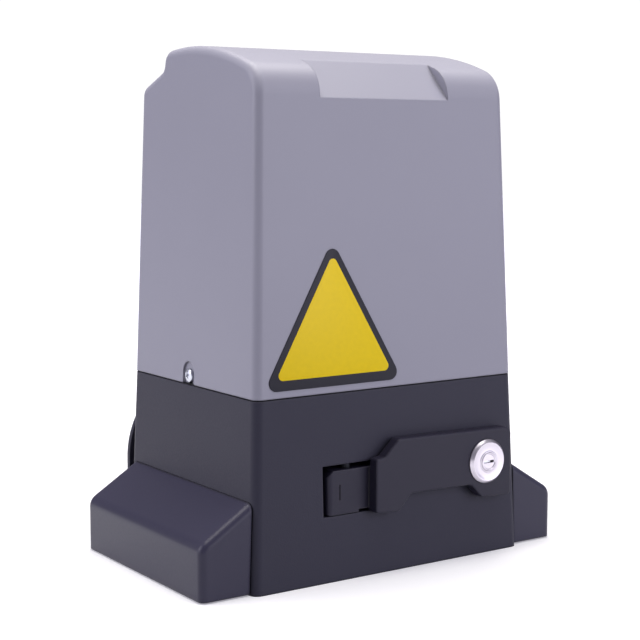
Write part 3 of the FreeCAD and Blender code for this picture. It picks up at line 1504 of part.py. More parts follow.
def make_limit_spring():
    """The wand: a pivot block with a close coil spring standing out of it."""
    knuckle = round_bar("z", limit_x, limit_pivot_y, limit_knuckle_radius, limit_low + seat_gap,
                        limit_high - limit_roof - seat_gap)
    stem = round_bar("y", limit_x, limit_level, limit_coil_radius - limit_coil_wire, limit_pivot_y,
                     limit_coil_end)
    spring = coil(limit_x, limit_level, limit_coil_radius, limit_coil_wire, limit_coil_turns,
                  limit_coil_start, limit_coil_end - limit_coil_start, 8, 4)
    return knuckle.fuse(stem).fuse(spring)


def make_limit_tip():
    body = round_bar("y", limit_x, limit_level, limit_tip_radius, limit_coil_end,
                     limit_tip_end - limit_tip_radius)
    ball = Part.makeSphere(limit_tip_radius, V(limit_x, limit_tip_end - limit_tip_radius, limit_level))
    return joined(body, ball)


def make_cable_grommet():
    """A rubber grommet in the floor that the supply cables come up through."""
    body = joined(round_bar("z", grommet_x, grommet_y, grommet_neck, 0.5, floor_thickness),
                  round_bar("z", grommet_x, grommet_y, grommet_flange, floor_thickness,
                            floor_thickness + grommet_lip))
    bore = round_bar("z", grommet_x, grommet_y, grommet_bore, 0, floor_thickness + grommet_lip + 1)
    return body.cut(bore)


# ---------------------------------------------------------------- all nodes
nodes = {
    "base_housing": make_base_housing(),
    "upper_cover": make_upper_cover(),
    "cover_screws": make_cover_screws(),
    "seam_gasket": make_seam_gasket(),
    "left_foot_cover": make_foot_cover(-1),
    "right_foot_cover": make_foot_cover(1),
    "gearbox_housing": make_gearbox_housing(),
    "gearbox_end_cover": make_gearbox_end_cover(),
    "end_cover_screws": make_end_cover_screws(),
    "front_bearing": ring_bearing("y", axis_x, axis_z, front_bearing_size, front_bearing_start),
    "rear_bearing": ring_bearing("y", axis_x, axis_z, rear_bearing_size, rear_bearing_start),
    "output_seal": make_output_seal(),
    "worm_tail_bearing": ring_bearing("z", motor_x, worm_y, tail_bearing_size, tail_bearing_start),
    "worm": make_worm(),
    "worm_wheel_rim": make_worm_wheel_rim(),
    "worm_wheel_hub": make_worm_wheel_hub(),
    "clutch_sleeve": make_clutch_sleeve(),
    "clutch_push_rod": make_clutch_push_rod(),
    "clutch_cross_pin": make_clutch_cross_pin(),
    "clutch_spring": make_clutch_spring(),
    "spring_collar": make_spring_collar(),
    "output_shaft": make_output_shaft(),
    "pinion": make_pinion(),
    "pinion_key": make_pinion_key(),
    "pinion_washer": make_pinion_washer(),
    "pinion_bolt": make_pinion_bolt(),
    "release_lever": make_release_lever(),
    "lever_pin": make_lever_pin(),
    "lock_body": make_lock_body(),
    "lock_nut": make_lock_nut(),
    "lock_plug": make_lock_plug(),
    "lock_cam": make_lock_cam(),
    "motor_lower_bell": make_motor_lower_bell(),
    "motor_upper_bell": make_motor_upper_bell(),
    "stator_core": make_stator_core(),
    "stator_windings": make_stator_windings(),
    "rotor_core": make_rotor_core(),
    "motor_shaft": make_motor_shaft(),
    "motor_lower_bearing": ring_bearing("z", motor_x, worm_y, motor_bearing_size, motor_bearing_start),
    "motor_upper_bearing": ring_bearing("z", motor_x, worm_y, motor_bearing_size, upper_bearing_start),
    "motor_bolts": make_motor_bolts(),
    "capacitor": make_capacitor(),
    "capacitor_clamp": make_capacitor_clamp(),
    "control_bracket": make_control_bracket(),
    "board_standoffs": make_board_standoffs(),
    "control_board": make_control_board(),
    "transformer": make_transformer(),
    "relays": make_relays(),
    "terminal_block": make_terminal_block(),
    "fuse_holder": make_fuse_holder(),
    "microcontroller": make_microcontroller(),
    "limit_switch_body": make_limit_switch_body(),
    "limit_spring": make_limit_spring(),
    "limit_tip": make_limit_tip(),
    "cable_grommet": make_cable_grommet(),
}

os.makedirs("parts", exist_ok=True)
for name, shape in nodes.items():
    shape.exportStep("parts/" + name + ".step")
print(len(nodes), "nodes")
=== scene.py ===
# %% [markdown]
# # A sliding gate motor, dressed for the studio
# The frame is a machine modelled in CAD: a cast body, a moulded hood, a release lever with a lock, and a
# pinion behind. This lesson gives each part the surface it has in real life, adds the small pieces that
# make it look real, and lights it like a catalogue picture. Nothing from the frame is moved or resized.

# %% Load the frame
import bpy
import bmesh
import math
from mathutils import Matrix, Vector
from mathutils.bvhtree import BVHTree


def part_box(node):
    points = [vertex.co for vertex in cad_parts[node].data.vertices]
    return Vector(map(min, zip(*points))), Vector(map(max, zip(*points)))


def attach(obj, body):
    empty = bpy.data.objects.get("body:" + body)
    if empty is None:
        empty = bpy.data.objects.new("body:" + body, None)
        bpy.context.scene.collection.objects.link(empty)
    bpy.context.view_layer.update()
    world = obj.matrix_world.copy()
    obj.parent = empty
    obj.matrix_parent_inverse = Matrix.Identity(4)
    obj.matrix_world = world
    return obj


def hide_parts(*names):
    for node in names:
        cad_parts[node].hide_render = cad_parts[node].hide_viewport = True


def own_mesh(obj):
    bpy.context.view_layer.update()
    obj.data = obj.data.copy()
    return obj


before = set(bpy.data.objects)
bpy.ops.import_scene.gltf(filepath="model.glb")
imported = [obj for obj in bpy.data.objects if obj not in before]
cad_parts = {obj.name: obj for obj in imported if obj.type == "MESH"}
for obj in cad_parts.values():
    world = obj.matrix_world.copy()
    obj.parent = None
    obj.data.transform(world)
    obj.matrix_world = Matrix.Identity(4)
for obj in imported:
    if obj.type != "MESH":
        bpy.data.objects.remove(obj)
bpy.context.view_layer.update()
MM = 0.001


# %% [markdown]
# ## Camera
# A catalogue picture is taken from some distance with a long lens, so that upright edges stay nearly
# parallel. The camera stands to the left of the front corner, a little under the top of the hood, and looks
# slightly down. A constraint could aim it at the machine; two plain angles say the same and are easier to
# change.

# %% Camera
camera_data = bpy.data.cameras.new("studio_camera")
camera_data.sensor_fit = "HORIZONTAL"
camera_data.sensor_width = 36.0
camera_data.lens = 83.5
camera_data.clip_end = 50.0
camera = bpy.data.objects.new("studio_camera", camera_data)
camera.location = (-578.9 * MM, -845.8 * MM, 276.1 * MM)
camera_pitch = 6.56
camera_yaw = 34.33
camera.rotation_euler = (math.radians(90 - camera_pitch), 0.0, math.radians(-camera_yaw))
bpy.context.scene.collection.objects.link(camera)
bpy.context.scene.camera = camera
print("camera at", [round(c, 3) for c in camera.location])


# %% [markdown]
# ## Colours
# Paint and plastic colours are written as sRGB hex values, as a colour picker gives them. Shaders work in
# linear light, so one function turns the first into the second.

# %% Colour
def colour(hex_value):
    """A linear RGBA colour from an sRGB hex value such as '9695a7'."""
    channels = [int(hex_value[i:i + 2], 16) / 255 for i in (0, 2, 4)]
    linear = [c / 12.92 if c <= 0.04045 else ((c + 0.055) / 1.055) ** 2.4 for c in channels]
    return (*linear, 1.0)


print("middle grey 808080 in linear light:", round(colour("808080")[0], 3))


# %% [markdown]
# ## One helper for shader nodes
# Every material below is a small network. It could be wired by hand in the node editor; written down, it
# can be read and repeated. One function adds a node, sets its properties and inputs, and links other nodes
# into it. An input can be given a plain value or another node's output.

# %% Shader node helper
def add_node(material, kind, inputs=None, **settings):
    """Adds a shader node. Inputs are given by socket name or index, as values or as output sockets."""
    node = material.node_tree.nodes.new(kind)
    for name, value in settings.items():
        setattr(node, name, value)
    for name, value in (inputs or {}).items():
        if isinstance(value, bpy.types.NodeSocket):
            material.node_tree.links.new(value, node.inputs[name])
        else:
            node.inputs[name].default_value = value
    return node


def start_material(name):
    """An empty node material with an output, and its object coordinates in metres."""
    material = bpy.data.materials.new(name)
    material.use_nodes = True
    material.node_tree.nodes.clear()
    output = add_node(material, "ShaderNodeOutputMaterial")
    place = add_node(material, "ShaderNodeTexCoord").outputs["Object"]
    return material, output, place


def finish_material(material, output, shader):
    """Links the shader to the output and says which material is ready."""
    material.node_tree.links.new(shader.outputs[0], output.inputs["Surface"])
    print("material:", material.name)
    return material


# %% [markdown]
# ## Rounded edges and worn edges
# No moulded or cast edge is perfectly sharp. A Bevel modifier could round each one, but it would change the
# frame's meshes. The Bevel node rounds only the shading normal over a given radius, so a hard CAD edge
# catches a thin line of light, and the shape itself stays as it was built. The angle between that rounded
# normal and the true one is large only near an edge, so it also says where fingers and tools have rubbed
# the surface bright. The plastics and coatings below use both.

# %% Edge helper
def soft_edge(material, radius_mm):
    """The rounded normal, and a mask that rises from 0 on flat ground to 1 at an outside edge."""
    rounded = add_node(material, "ShaderNodeBevel", {"Radius": radius_mm * MM}, samples=6).outputs[0]
    true = add_node(material, "ShaderNodeNewGeometry").outputs["True Normal"]
    agreement = add_node(material, "ShaderNodeVectorMath", {0: rounded, 1: true}, operation="DOT_PRODUCT")
    # The two normals are 6 degrees apart where the mask starts, and 37 degrees where it is full.
    mask = add_node(material, "ShaderNodeMapRange", {"Value": agreement.outputs["Value"], "From Min": 0.995,
                                                     "From Max": 0.80, "To Min": 0.0, "To Max": 1.0})
    return rounded, mask.outputs[0]


# %% [markdown]
# ## Painted shade in joints and corners
# Where two pieces meet, or a surface turns inward, the colour is painted darker. This is painted shade,
# standing in for the shadow that falls into such spots. That could be painted by hand. The Ambient
# Occlusion node finds such spots by itself, also when the hood is lifted or the lever swings out: it
# measures how closed in each spot is within a few millimetres. The helper turns that into a mask, which
# paints shade into the joints round the lever, the foot covers and the seam.

# %% Corner helper
corner_reach = 2.5 * MM


def occlusion_shade_mask(material, reach):
    """A mask for painted shade: 0 on open ground, rising to 1 deep in a corner or a narrow gap."""
    openness = add_node(material, "ShaderNodeAmbientOcclusion", {"Distance": reach}, samples=8)
    # Openness is 1 on a flat face, about 0.5 in a square corner, and less in a gap.
    mask = add_node(material, "ShaderNodeMapRange", {"Value": openness.outputs["AO"], "From Min": 0.9,
                                                     "From Max": 0.4, "To Min": 0.0, "To Max": 1.0})
    return mask.outputs[0]


print("corners are looked for within", round(corner_reach / MM, 1), "mm")


# %% [markdown]
# ## Moulded and coated surfaces
# The hood is injection moulded in ABS. Its mould is spark eroded, which prints a fine even grain on the
# plastic. The cast body is powder coated: the powder melts to a slightly pebbled skin, coarser than that
# grain. Both are the same recipe with other sizes. A broad noise drifts the colour by a few percent, as it
# does where a moulding cooled unevenly. A fine noise gives the grain, in the relief and in the gloss. The
# edges are a little lighter, as worn plastic is, and the corners are painted darker, as painted shade. Real
# grain is about 0.3 mm, too fine to show at this distance, so it is drawn two to four times as coarse. All
# are plastics or paints, with the usual index of refraction of 1.5.

# %% Grained surfaces
drift_size = 111.0
gloss_spread = 0.05
grain_depth = 0.06
rubbed_pale = Vector((0.125, 0.125, 0.13))


def grained(name, hex_value, grain_mm, roughness, relief, drift=0.04, edge_mm=1.2, wear=0.25, specular=0.5,
            corner_shade_share=0.7):
    """Moulded plastic, powder coat or rubber. Relief, drift, wear and corner shade are shares from 0 to 1;
    the corner shade is painted shade in joints and corners.
    """
    material, output, place = start_material(name)
    base = Vector(colour(hex_value)[:3])
    broad = add_node(material, "ShaderNodeTexNoise", {"Vector": place, "Scale": 1.0 / (drift_size * MM),
                                                      "Detail": 3.0})
    drifted = add_node(material, "ShaderNodeMix", {0: broad.outputs[0], 6: (*(base * (1 - drift)), 1.0),
                                                   7: (*(base * (1 + drift)), 1.0)}, data_type="RGBA")
    rounded, at_edge = soft_edge(material, edge_mm)
    worn = add_node(material, "ShaderNodeMath", {0: at_edge, 1: wear}, operation="MULTIPLY")
    tinted = add_node(material, "ShaderNodeMix", {0: worn.outputs[0], 6: drifted.outputs[2],
                                                  7: (*(base * 0.75 + rubbed_pale), 1.0)}, data_type="RGBA")
    # Painted shade: the colour turns darker where the Ambient Occlusion node finds a joint, corner or gap
    # closed in.
    shade_in_corner = occlusion_shade_mask(material, corner_reach)
    shaded_corners = add_node(material, "ShaderNodeMix", {0: shade_in_corner, 6: tinted.outputs[2],
                                                 7: (*(base * (1 - corner_shade_share)), 1.0)}, data_type="RGBA")
    grain = add_node(material, "ShaderNodeTexNoise", {"Vector": place, "Scale": 1.0 / (grain_mm * MM),
                                                      "Detail": 2.0})
    # The noise stays mostly between 0.3 and 0.7.
    gloss = add_node(material, "ShaderNodeMapRange", {"Value": grain.outputs[0], "From Min": 0.3,
                                                      "From Max": 0.7, "To Min": roughness - gloss_spread,
                                                      "To Max": roughness + gloss_spread})
    skin = add_node(material, "ShaderNodeBump", {"Height": grain.outputs[0], "Strength": relief,
                                                 "Distance": grain_depth * grain_mm * MM,
                                                 "Normal": rounded})
    shader = add_node(material, "ShaderNodeBsdfPrincipled", {"Base Color": shaded_corners.outputs[2], "IOR": 1.5,
                                                            "Specular IOR Level": specular,
                                                            "Roughness": gloss.outputs[0],
                                                            "Normal": skin.outputs[0]})
    return finish_material(material, output, shader)


# %% [markdown]
# ## Finishes of the casing
# Four materials cover nearly all that shows from outside. Each starts from the usual roughness of its kind,
# 0.3 to 0.5. The dark ones get a specular level under the usual 0.5, because a matt coat scatters most of
# what it reflects, and a white studio would otherwise wash its black out to grey.

# %% Casing
# Spark-eroded ABS spreads light widely: an even, soft grey with a dull glow along the rolled edges.
moulded_abs_grey = grained("moulded ABS, pale grey", "9c9ba9", 0.9, 0.46, 0.6, edge_mm=1.5, wear=0.12,
                           corner_shade_share=0.25)
# Powder coat on a casting is nearly black, and its pebbles break up every reflection.
powder_coat_dark = grained("powder-coated die-cast aluminium", "343341", 1.1, 0.50, 1.0, drift=0.05,
                           edge_mm=1.5, specular=0.2)
# The foot covers come from a smoother mould, so their rounded front edges draw a clear line of light.
foot_abs_dark = grained("moulded ABS, dark grey", "343246", 0.9, 0.34, 0.6, edge_mm=2.5, wear=0.3,
                        specular=0.3)
# The lever is nylon, which is duller and darker, so that it stands out from the body only by its edges.
lever_nylon_dark = grained("moulded nylon, dark grey", "272535", 1.0, 0.44, 0.7, edge_mm=1.2, wear=0.3,
                           specular=0.25)


# %% [markdown]
# ## Small plastics and rubber
# The electrical parts are moulded too, in the colours that such parts are usually made in. They are small,
# so their edges are rounded less. The epoxy of the lamps is the glossiest and the rubber is the dullest.

# %% Small plastics and rubber
# Moulded polyamide has a quiet sheen that keeps a black case from looking like a hole.
polyamide_black = grained("moulded polyamide, black", "17171a", 0.7, 0.40, 0.4, edge_mm=0.5)
# Cured rubber shows no reflection at all, only a faint bloom.
rubber_black = grained("nitrile rubber", "131316", 0.9, 0.75, 0.8, edge_mm=0.5, wear=0.1)
# Polyester cases are a little glossier, and their saturated blue picks the relays out.
relay_blue = grained("relay case, blue polyester", "1f4f8f", 0.7, 0.35, 0.3, edge_mm=0.6)
switch_red = grained("slide switch, red polyamide", "b3262a", 0.7, 0.40, 0.3, edge_mm=0.4)
# Cast epoxy is clear and smooth: a small sharp highlight on a deep red.
lamp_red = grained("status lamp, tinted epoxy", "a81c1c", 0.9, 0.18, 0.1, edge_mm=0.4, wear=0.0)
# Dipped enamel is smooth, with a soft highlight along each resistor.
resistor_enamel = grained("resistor, beige enamel", "c9a878", 0.6, 0.30, 0.3, edge_mm=0.4)
terminal_green = grained("terminal block, green polyamide", "2f8f4a", 0.7, 0.40, 0.3, edge_mm=0.5)
# Polypropylene looks waxy: off-white, with a broad highlight.
polypropylene_white = grained("moulded polypropylene, white", "dcdcd6", 1.0, 0.35, 0.3, edge_mm=1.0,
                              wear=0.0)


# %% [markdown]
# ## Metals
# A metal's colour is its reflection, so each of these is a Principled shader with Metallic at 1 and the
# index of refraction left alone. What tells them apart is the finish, which is a noise in the gloss and the
# relief. It is stretched for turned, cut, drawn and stacked metal, where working leaves lines, and left
# round for plated and cast metal. Real tool marks are 0.1 mm apart or closer and would not show, so they
# are drawn six times as coarse or more. A second, broad noise clouds the gloss, as handling and plating do.

# %% Metal helper
cloud_size = 16.7
mark_depth = 0.03


def metal(name, hex_value, roughness, mark_mm, stretch, bump):
    """Bare or plated metal with marks of the given spacing. A low stretch draws them out on that axis."""
    material, output, place = start_material(name)
    drawn = add_node(material, "ShaderNodeMapping", {"Vector": place, "Scale": stretch})
    marks = add_node(material, "ShaderNodeTexNoise", {"Vector": drawn.outputs[0], "Detail": 3.0,
                                                      "Scale": 1.0 / (mark_mm * MM)})
    cloud = add_node(material, "ShaderNodeTexNoise", {"Vector": place, "Scale": 1.0 / (cloud_size * MM),
                                                      "Detail": 2.0})
    both = add_node(material, "ShaderNodeMath", {0: marks.outputs[0], 1: cloud.outputs[0]},
                    operation="MULTIPLY")
    gloss = add_node(material, "ShaderNodeMapRange", {"Value": both.outputs[0], "From Max": 0.5,
                                                     "To Min": roughness * 0.75, "To Max": roughness * 1.3})
    relief = add_node(material, "ShaderNodeBump", {"Height": marks.outputs[0], "Strength": bump,
                                                   "Distance": mark_depth * MM})
    shader = add_node(material, "ShaderNodeBsdfPrincipled", {"Base Color": colour(hex_value),
                                                            "Metallic": 1.0, "Roughness": gloss.outputs[0],
                                                            "Normal": relief.outputs[0]})
    return finish_material(material, output, shader)


# %% Plated and coated metals
# Satin chrome over polished zinc alloy gives soft, bright bands of light with no visible marks.
satin_chrome = metal("satin chrome on zinc alloy", "cfcad4", 0.32, 0.8, (1.0, 1.0, 1.0), 0.06)
# A phosphated pin is nearly black and stays quiet in the shade of its pocket.
blackened_steel = metal("phosphated steel pin", "25262b", 0.45, 0.9, (1.0, 1.0, 0.3), 0.3)
# Zinc plate is bright and cool, a little cloudy.
zinc_plate = metal("zinc-plated steel", "c3c6cf", 0.28, 1.2, (1.0, 1.0, 1.0), 0.2)
# Hot-dip galvanising leaves crystals about 5 mm wide, which shimmer faintly against each other.
galvanised_sheet = metal("galvanised sheet steel", "9a9ea6", 0.42, 5.0, (1.0, 1.0, 1.0), 0.05)

# %% Worked metals
# Turning leaves rings, which stretch each highlight across them.
turned_steel = metal("turned steel", "a9abb2", 0.30, 0.7, (0.2, 1.0, 0.2), 0.3)
# Hobbed teeth carry fine marks and look darker than turned steel, because they are oiled.
cut_steel = metal("hobbed steel teeth", "8f9199", 0.34, 0.9, (1.0, 0.2, 1.0), 0.4)
# A raw casting is open and grey, with no clear reflection.
raw_casting = metal("as-cast aluminium", "9b9ca1", 0.55, 1.6, (1.0, 1.0, 1.0), 0.9)
# Bronze is warm and takes a soft polish from the worm.
tin_bronze = metal("tin bronze", "b98a52", 0.33, 0.8, (1.0, 0.3, 1.0), 0.3)
# Wound wire reads as fine copper lines under a clear, shiny enamel.
copper_enamel = metal("enamelled copper wire", "b4572a", 0.28, 0.8, (0.3, 0.3, 1.0), 0.5)
# The edges of stacked sheets make fine level lines. They are 0.5 mm thick and are drawn a little coarser.
lamination_steel = metal("stacked lamination steel", "6d7078", 0.42, 0.7, (0.05, 0.05, 1.0), 1.0)
# Drawn wire is smooth along its length and holds a thin bright line.
spring_wire = metal("drawn spring wire", "b4b6bd", 0.22, 0.6, (1.0, 0.2, 1.0), 0.2)


# %% [markdown]
# ## Printed vinyl
# A warning plate is a vinyl film with ink printed on it. It gives the eye a flat, strong colour, a soft
# sheen, and tiny waves from the glue underneath. The waves are broad and shallow, 14 mm apart, and the ink
# has a faint mottle of 3 mm. A plain colour would do from far off; the two noises keep it from looking cut
# out at close range.

# %% Printed vinyl
mottle_size = 3.33
wave_size = 14.0
wave_depth = 0.15


def printed_vinyl(name, hex_value):
    """A film with one even ink on it."""
    material, output, place = start_material(name)
    base = Vector(colour(hex_value)[:3])
    mottle = add_node(material, "ShaderNodeTexNoise", {"Vector": place, "Scale": 1.0 / (mottle_size * MM),
                                                       "Detail": 4.0})
    ink = add_node(material, "ShaderNodeMix", {0: mottle.outputs[0], 6: (*(base * 0.95), 1.0),
                                               7: (*(base * 1.05), 1.0)}, data_type="RGBA")
    waves = add_node(material, "ShaderNodeTexNoise", {"Vector": place, "Scale": 1.0 / (wave_size * MM),
                                                      "Detail": 2.0})
    glued = add_node(material, "ShaderNodeBump", {"Height": waves.outputs[0], "Strength": 0.3,
                                                  "Distance": wave_depth * MM})
    sheen = add_node(material, "ShaderNodeMapRange", {"Value": mottle.outputs[0], "To Min": 0.33,
                                                      "To Max": 0.43})
    shader = add_node(material, "ShaderNodeBsdfPrincipled", {"Base Color": ink.outputs[2], "IOR": 1.53,
                                                            "Specular IOR Level": 0.2,
                                                            "Roughness": sheen.outputs[0],
                                                            "Normal": glued.outputs[0]})
    return finish_material(material, output, shader)


printed_vinyl_yellow = printed_vinyl("printed vinyl, warning yellow", "fbd900")
printed_vinyl_dark = printed_vinyl("printed vinyl, dark rim", "1a1926")


# %% [markdown]
# ## Circuit board
# A glass fibre board is coated with green solder mask over copper tracks. The tracks stand about 0.035 mm
# proud, which shows as slightly lighter green lines. A brick pattern, 16 mm by 2.4 mm, gives runs with
# right-angled turns, which reads as tracks without copying any real board. The mask is a smooth lacquer,
# hence the low roughness.

# %% Circuit board
track_run, track_row, track_width = 16.0, 2.4, 0.333


def solder_mask(name):
    """Green lacquer with lighter lines where the tracks lie."""
    material, output, place = start_material(name)
    lacquer, over_copper = colour("1d6b3c"), colour("2f8a53")
    upright = (0.0, math.radians(90), 0.0)
    laid = add_node(material, "ShaderNodeMapping", {"Vector": place, "Rotation": upright})
    tracks = add_node(material, "ShaderNodeTexBrick", {"Vector": laid.outputs[0], "Scale": 1.0 / MM,
                                                       "Brick Width": track_run, "Row Height": track_row,
                                                       "Color1": lacquer, "Color2": lacquer,
                                                       "Mortar": over_copper, "Mortar Size": track_width},
                      offset=0.37, squash=1.6)
    shader = add_node(material, "ShaderNodeBsdfPrincipled", {"Base Color": tracks.outputs[0],
                                                            "Roughness": 0.3, "IOR": 1.5})
    return finish_material(material, output, shader)


board_green = solder_mask("green solder mask on glass fibre")


# %% [markdown]
# ## Finishes on the frame
# Each CAD node keeps its shape and takes one finish. A table of materials and names says it all in one
# place. The nodes that get a finer mesh further down are dressed as well, since the frame keeps them.

# %% Assign finishes
finishes = {
    moulded_abs_grey: ["upper_cover"],
    powder_coat_dark: ["base_housing", "gearbox_end_cover"],
    foot_abs_dark: ["left_foot_cover", "right_foot_cover"],
    lever_nylon_dark: ["release_lever"],
    rubber_black: ["seam_gasket", "output_seal", "cable_grommet"],
    satin_chrome: ["lock_body", "lock_plug"],
    zinc_plate: ["cover_screws", "end_cover_screws", "pinion_washer", "pinion_bolt", "lock_nut", "lock_cam",
                 "motor_bolts", "board_standoffs"],
    galvanised_sheet: ["control_bracket"],
    turned_steel: ["front_bearing", "rear_bearing", "worm_tail_bearing", "worm_wheel_hub", "clutch_sleeve",
                   "clutch_push_rod", "clutch_cross_pin", "clutch_spring", "spring_collar", "output_shaft",
                   "pinion_key", "motor_shaft", "motor_lower_bearing", "motor_upper_bearing",
                   "limit_spring"],
    cut_steel: ["pinion", "worm"],
    raw_casting: ["gearbox_housing", "motor_lower_bell", "motor_upper_bell"],
    tin_bronze: ["worm_wheel_rim"],
    blackened_steel: ["lever_pin"],
    copper_enamel: ["stator_windings"],
    lamination_steel: ["stator_core", "rotor_core", "transformer"],
    board_green: ["control_board"],
    relay_blue: ["relays"],
    terminal_green: ["terminal_block"],
    polypropylene_white: ["capacitor"],
    polyamide_black: ["capacitor_clamp", "fuse_holder", "microcontroller", "limit_switch_body",
                      "limit_tip"],
}
for material, names in finishes.items():
    for name in names:
        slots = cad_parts[name].data.materials
        slots.clear()
        slots.append(material)
print("dressed", sum(len(names) for names in finishes.values()), "nodes")


# %% [markdown]
# ## Working in millimetres
# The frame is in metres, while a drawing of such small pieces is easier to read in millimetres. Every piece
# below is built in millimetres and scaled once, when it is finished. These two helpers read the frame in
# millimetres: one gives a node's box, the other finds where a straight line first meets a node's surface,
# so that a plate can be laid on a sloping wall without guessing the slope.

# %% Measuring the frame
def box_mm(node):
    """The lowest and highest corner of a CAD node, in millimetres."""
    low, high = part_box(node)
    return low / MM, high / MM


def touch(node, start, direction):
    """Where a line from the start first meets a CAD node, in millimetres."""
    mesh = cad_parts[node].data
    tree = BVHTree.FromPolygons([v.co for v in mesh.vertices], [p.vertices for p in mesh.polygons])
    hit = tree.ray_cast(Vector(start) * MM, Vector(direction))[0]
    return hit / MM


hood_low, hood_high = box_mm("upper_cover")
print("hood from", [round(c, 1) for c in hood_low], "to", [round(c, 1) for c in hood_high])


# %% [markdown]
# ## Turned shapes
# Screws, capacitors and lock parts come off a lathe, so one helper spins a profile round an axis. A Screw
# modifier does the same to a drawn line. Building the rings directly keeps the whole shape in a dozen lines
# and closes a solid neatly on its axis.

# %% Turned shapes
def turned(profile, segments=48, hollow=False):
    """A shape spun about Z from (radius, height) points. A solid one begins and ends on the axis."""
    shape = bmesh.new()
    rings = []
    for radius, height in profile:
        if radius < 1e-6:
            rings.append([shape.verts.new((0.0, 0.0, height))])
            continue
        turns = [2 * math.pi * i / segments for i in range(segments)]
        rings.append([shape.verts.new((radius * math.cos(t), radius * math.sin(t), height)) for t in turns])
    following = rings[1:] + rings[:1] if hollow else rings[1:]
    for lower, upper in zip(rings, following):
        for i in range(segments):
            j = (i + 1) % segments
            around = [lower[i % len(lower)], lower[j % len(lower)],
                      upper[j % len(upper)], upper[i % len(upper)]]
            shape.faces.new(list(dict.fromkeys(around)))
    return shape


sample = turned([(0.0, 0.0), (5.0, 0.0), (5.0, 2.0), (0.0, 2.0)])
print("a turned disc has", len(sample.faces), "faces")
sample.free()


# %% [markdown]
# ## Plates and blocks
# A stamped plate is an outline with a thickness, so the first helper rounds the corners of an outline and
# the second raises it. A switch or a shutter is a small block. Both get a narrow bevel as real geometry,
# because these pieces are looked at closely and a punch or a mould leaves such an edge.

# %% Plates and blocks
def rounded_outline(corners, radius, steps=6):
    """The corners of a convex outline, each replaced by points on an arc."""
    points = []
    for i, corner in enumerate(corners):
        here = Vector(corner)
        back = (Vector(corners[i - 1]) - here).normalized()
        ahead = (Vector(corners[(i + 1) % len(corners)]) - here).normalized()
        half = back.angle(ahead) / 2
        middle = here + (back + ahead).normalized() * radius / math.sin(half)
        first = here + back * radius / math.tan(half) - middle
        sweep = (math.pi - 2 * half) / steps
        turn = 1 if back.x * ahead.y - back.y * ahead.x < 0 else -1
        for k in range(steps + 1):
            points.append(middle + Matrix.Rotation(turn * sweep * k, 2) @ first)
    return points


def plate(outline, thickness, edge):
    """A flat plate in the XY plane with its top edge rounded."""
    shape = bmesh.new()
    base = shape.faces.new([shape.verts.new((x, y, 0.0)) for x, y in outline])
    raised = bmesh.ops.extrude_face_region(shape, geom=[base])["geom"]
    top = [g for g in raised if isinstance(g, bmesh.types.BMVert)]
    bmesh.ops.translate(shape, verts=top, vec=(0.0, 0.0, thickness))
    rim = [e for e in shape.edges if all(v in top for v in e.verts)]
    bmesh.ops.bevel(shape, geom=rim, offset=edge, segments=3, profile=0.5, affect="EDGES")
    return shape


def block(wide, deep, tall, edge):
    """A box that stands on the origin, with all its edges rounded."""
    shape = bmesh.new()
    bmesh.ops.create_cube(shape, size=1.0)
    bmesh.ops.scale(shape, verts=shape.verts, vec=(wide, deep, tall))
    bmesh.ops.translate(shape, verts=shape.verts, vec=(0.0, 0.0, tall / 2))
    bmesh.ops.bevel(shape, geom=shape.edges[:], offset=edge, segments=2, profile=0.5, affect="EDGES")
    return shape


# %% [markdown]
# ## Cutting, joining and placing
# A cross recess or a key slot is pressed or milled out of a finished shape, so a helper cuts one shape out
# of another. The Boolean modifier works on objects, which is why both become objects for a moment. Another
# helper joins shapes that share one material, and the last one stands a shape where it belongs.

# %% Cutting, joining and placing
def as_object(shape):
    """A passing object that holds the shape, for a modifier to work on."""
    mesh = bpy.data.meshes.new("workpiece")
    shape.to_mesh(mesh)
    shape.free()
    thing = bpy.data.objects.new("workpiece", mesh)
    bpy.context.scene.collection.objects.link(thing)
    return thing


def cut_out(shape, tool):
    """The shape with the tool's form taken out of it."""
    body, cutter = as_object(shape), as_object(tool)
    modifier = body.modifiers.new("cut", "BOOLEAN")
    modifier.solver = "EXACT"
    modifier.operation = "DIFFERENCE"
    modifier.object = cutter
    bpy.context.view_layer.update()
    result = bmesh.new()
    result.from_mesh(body.evaluated_get(bpy.context.evaluated_depsgraph_get()).to_mesh())
    for thing in (body, cutter):
        bpy.data.objects.remove(thing)
    return result


def put_together(*shapes):
    """One bmesh out of several."""
    whole = shapes[0]
    for shape in shapes[1:]:
        mesh = bpy.data.meshes.new("joined")
        shape.to_mesh(mesh)
        shape.free()
        whole.from_mesh(mesh)
        bpy.data.meshes.remove(mesh)
    return whole


def set_at(shape, point, direction=(0.0, 0.0, 1.0)):
    """Moves a shape so that its origin lands on the point and its Z axis lies along the direction."""
    turn = Vector(direction).to_track_quat("Z", "Y").to_matrix().to_4x4()
    shape.transform(Matrix.Translation(point) @ turn)
    return shape


# %% [markdown]
# ## Finishing a piece
# Every piece ends the same way. It is scaled to metres, shaded smooth apart from its sharp edges, given a
# material and tied to the body that it moves with. Sharp edges are found by their angle, which suits
# machined and moulded pieces, whose faces meet either gently or at a clear edge.

# %% Finishing a piece
def finish_piece(name, shape, material, body, crease=32.0):
    """Scales a shape to metres, marks edges sharper than the crease angle and ties it to its body."""
    shape.transform(Matrix.Scale(MM, 4))
    bmesh.ops.recalc_face_normals(shape, faces=shape.faces)
    for face in shape.faces:
        face.smooth = True
    for edge in shape.edges:
        edge.smooth = not (edge.is_manifold and edge.calc_face_angle() > math.radians(crease))
    mesh = bpy.data.meshes.new(name)
    shape.to_mesh(mesh)
    shape.free()
    mesh.materials.append(material)
    piece = bpy.data.objects.new(name, mesh)
    bpy.context.scene.collection.objects.link(piece)
    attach(piece, body)
    print("piece:", name, len(mesh.polygons), "faces")
    return piece


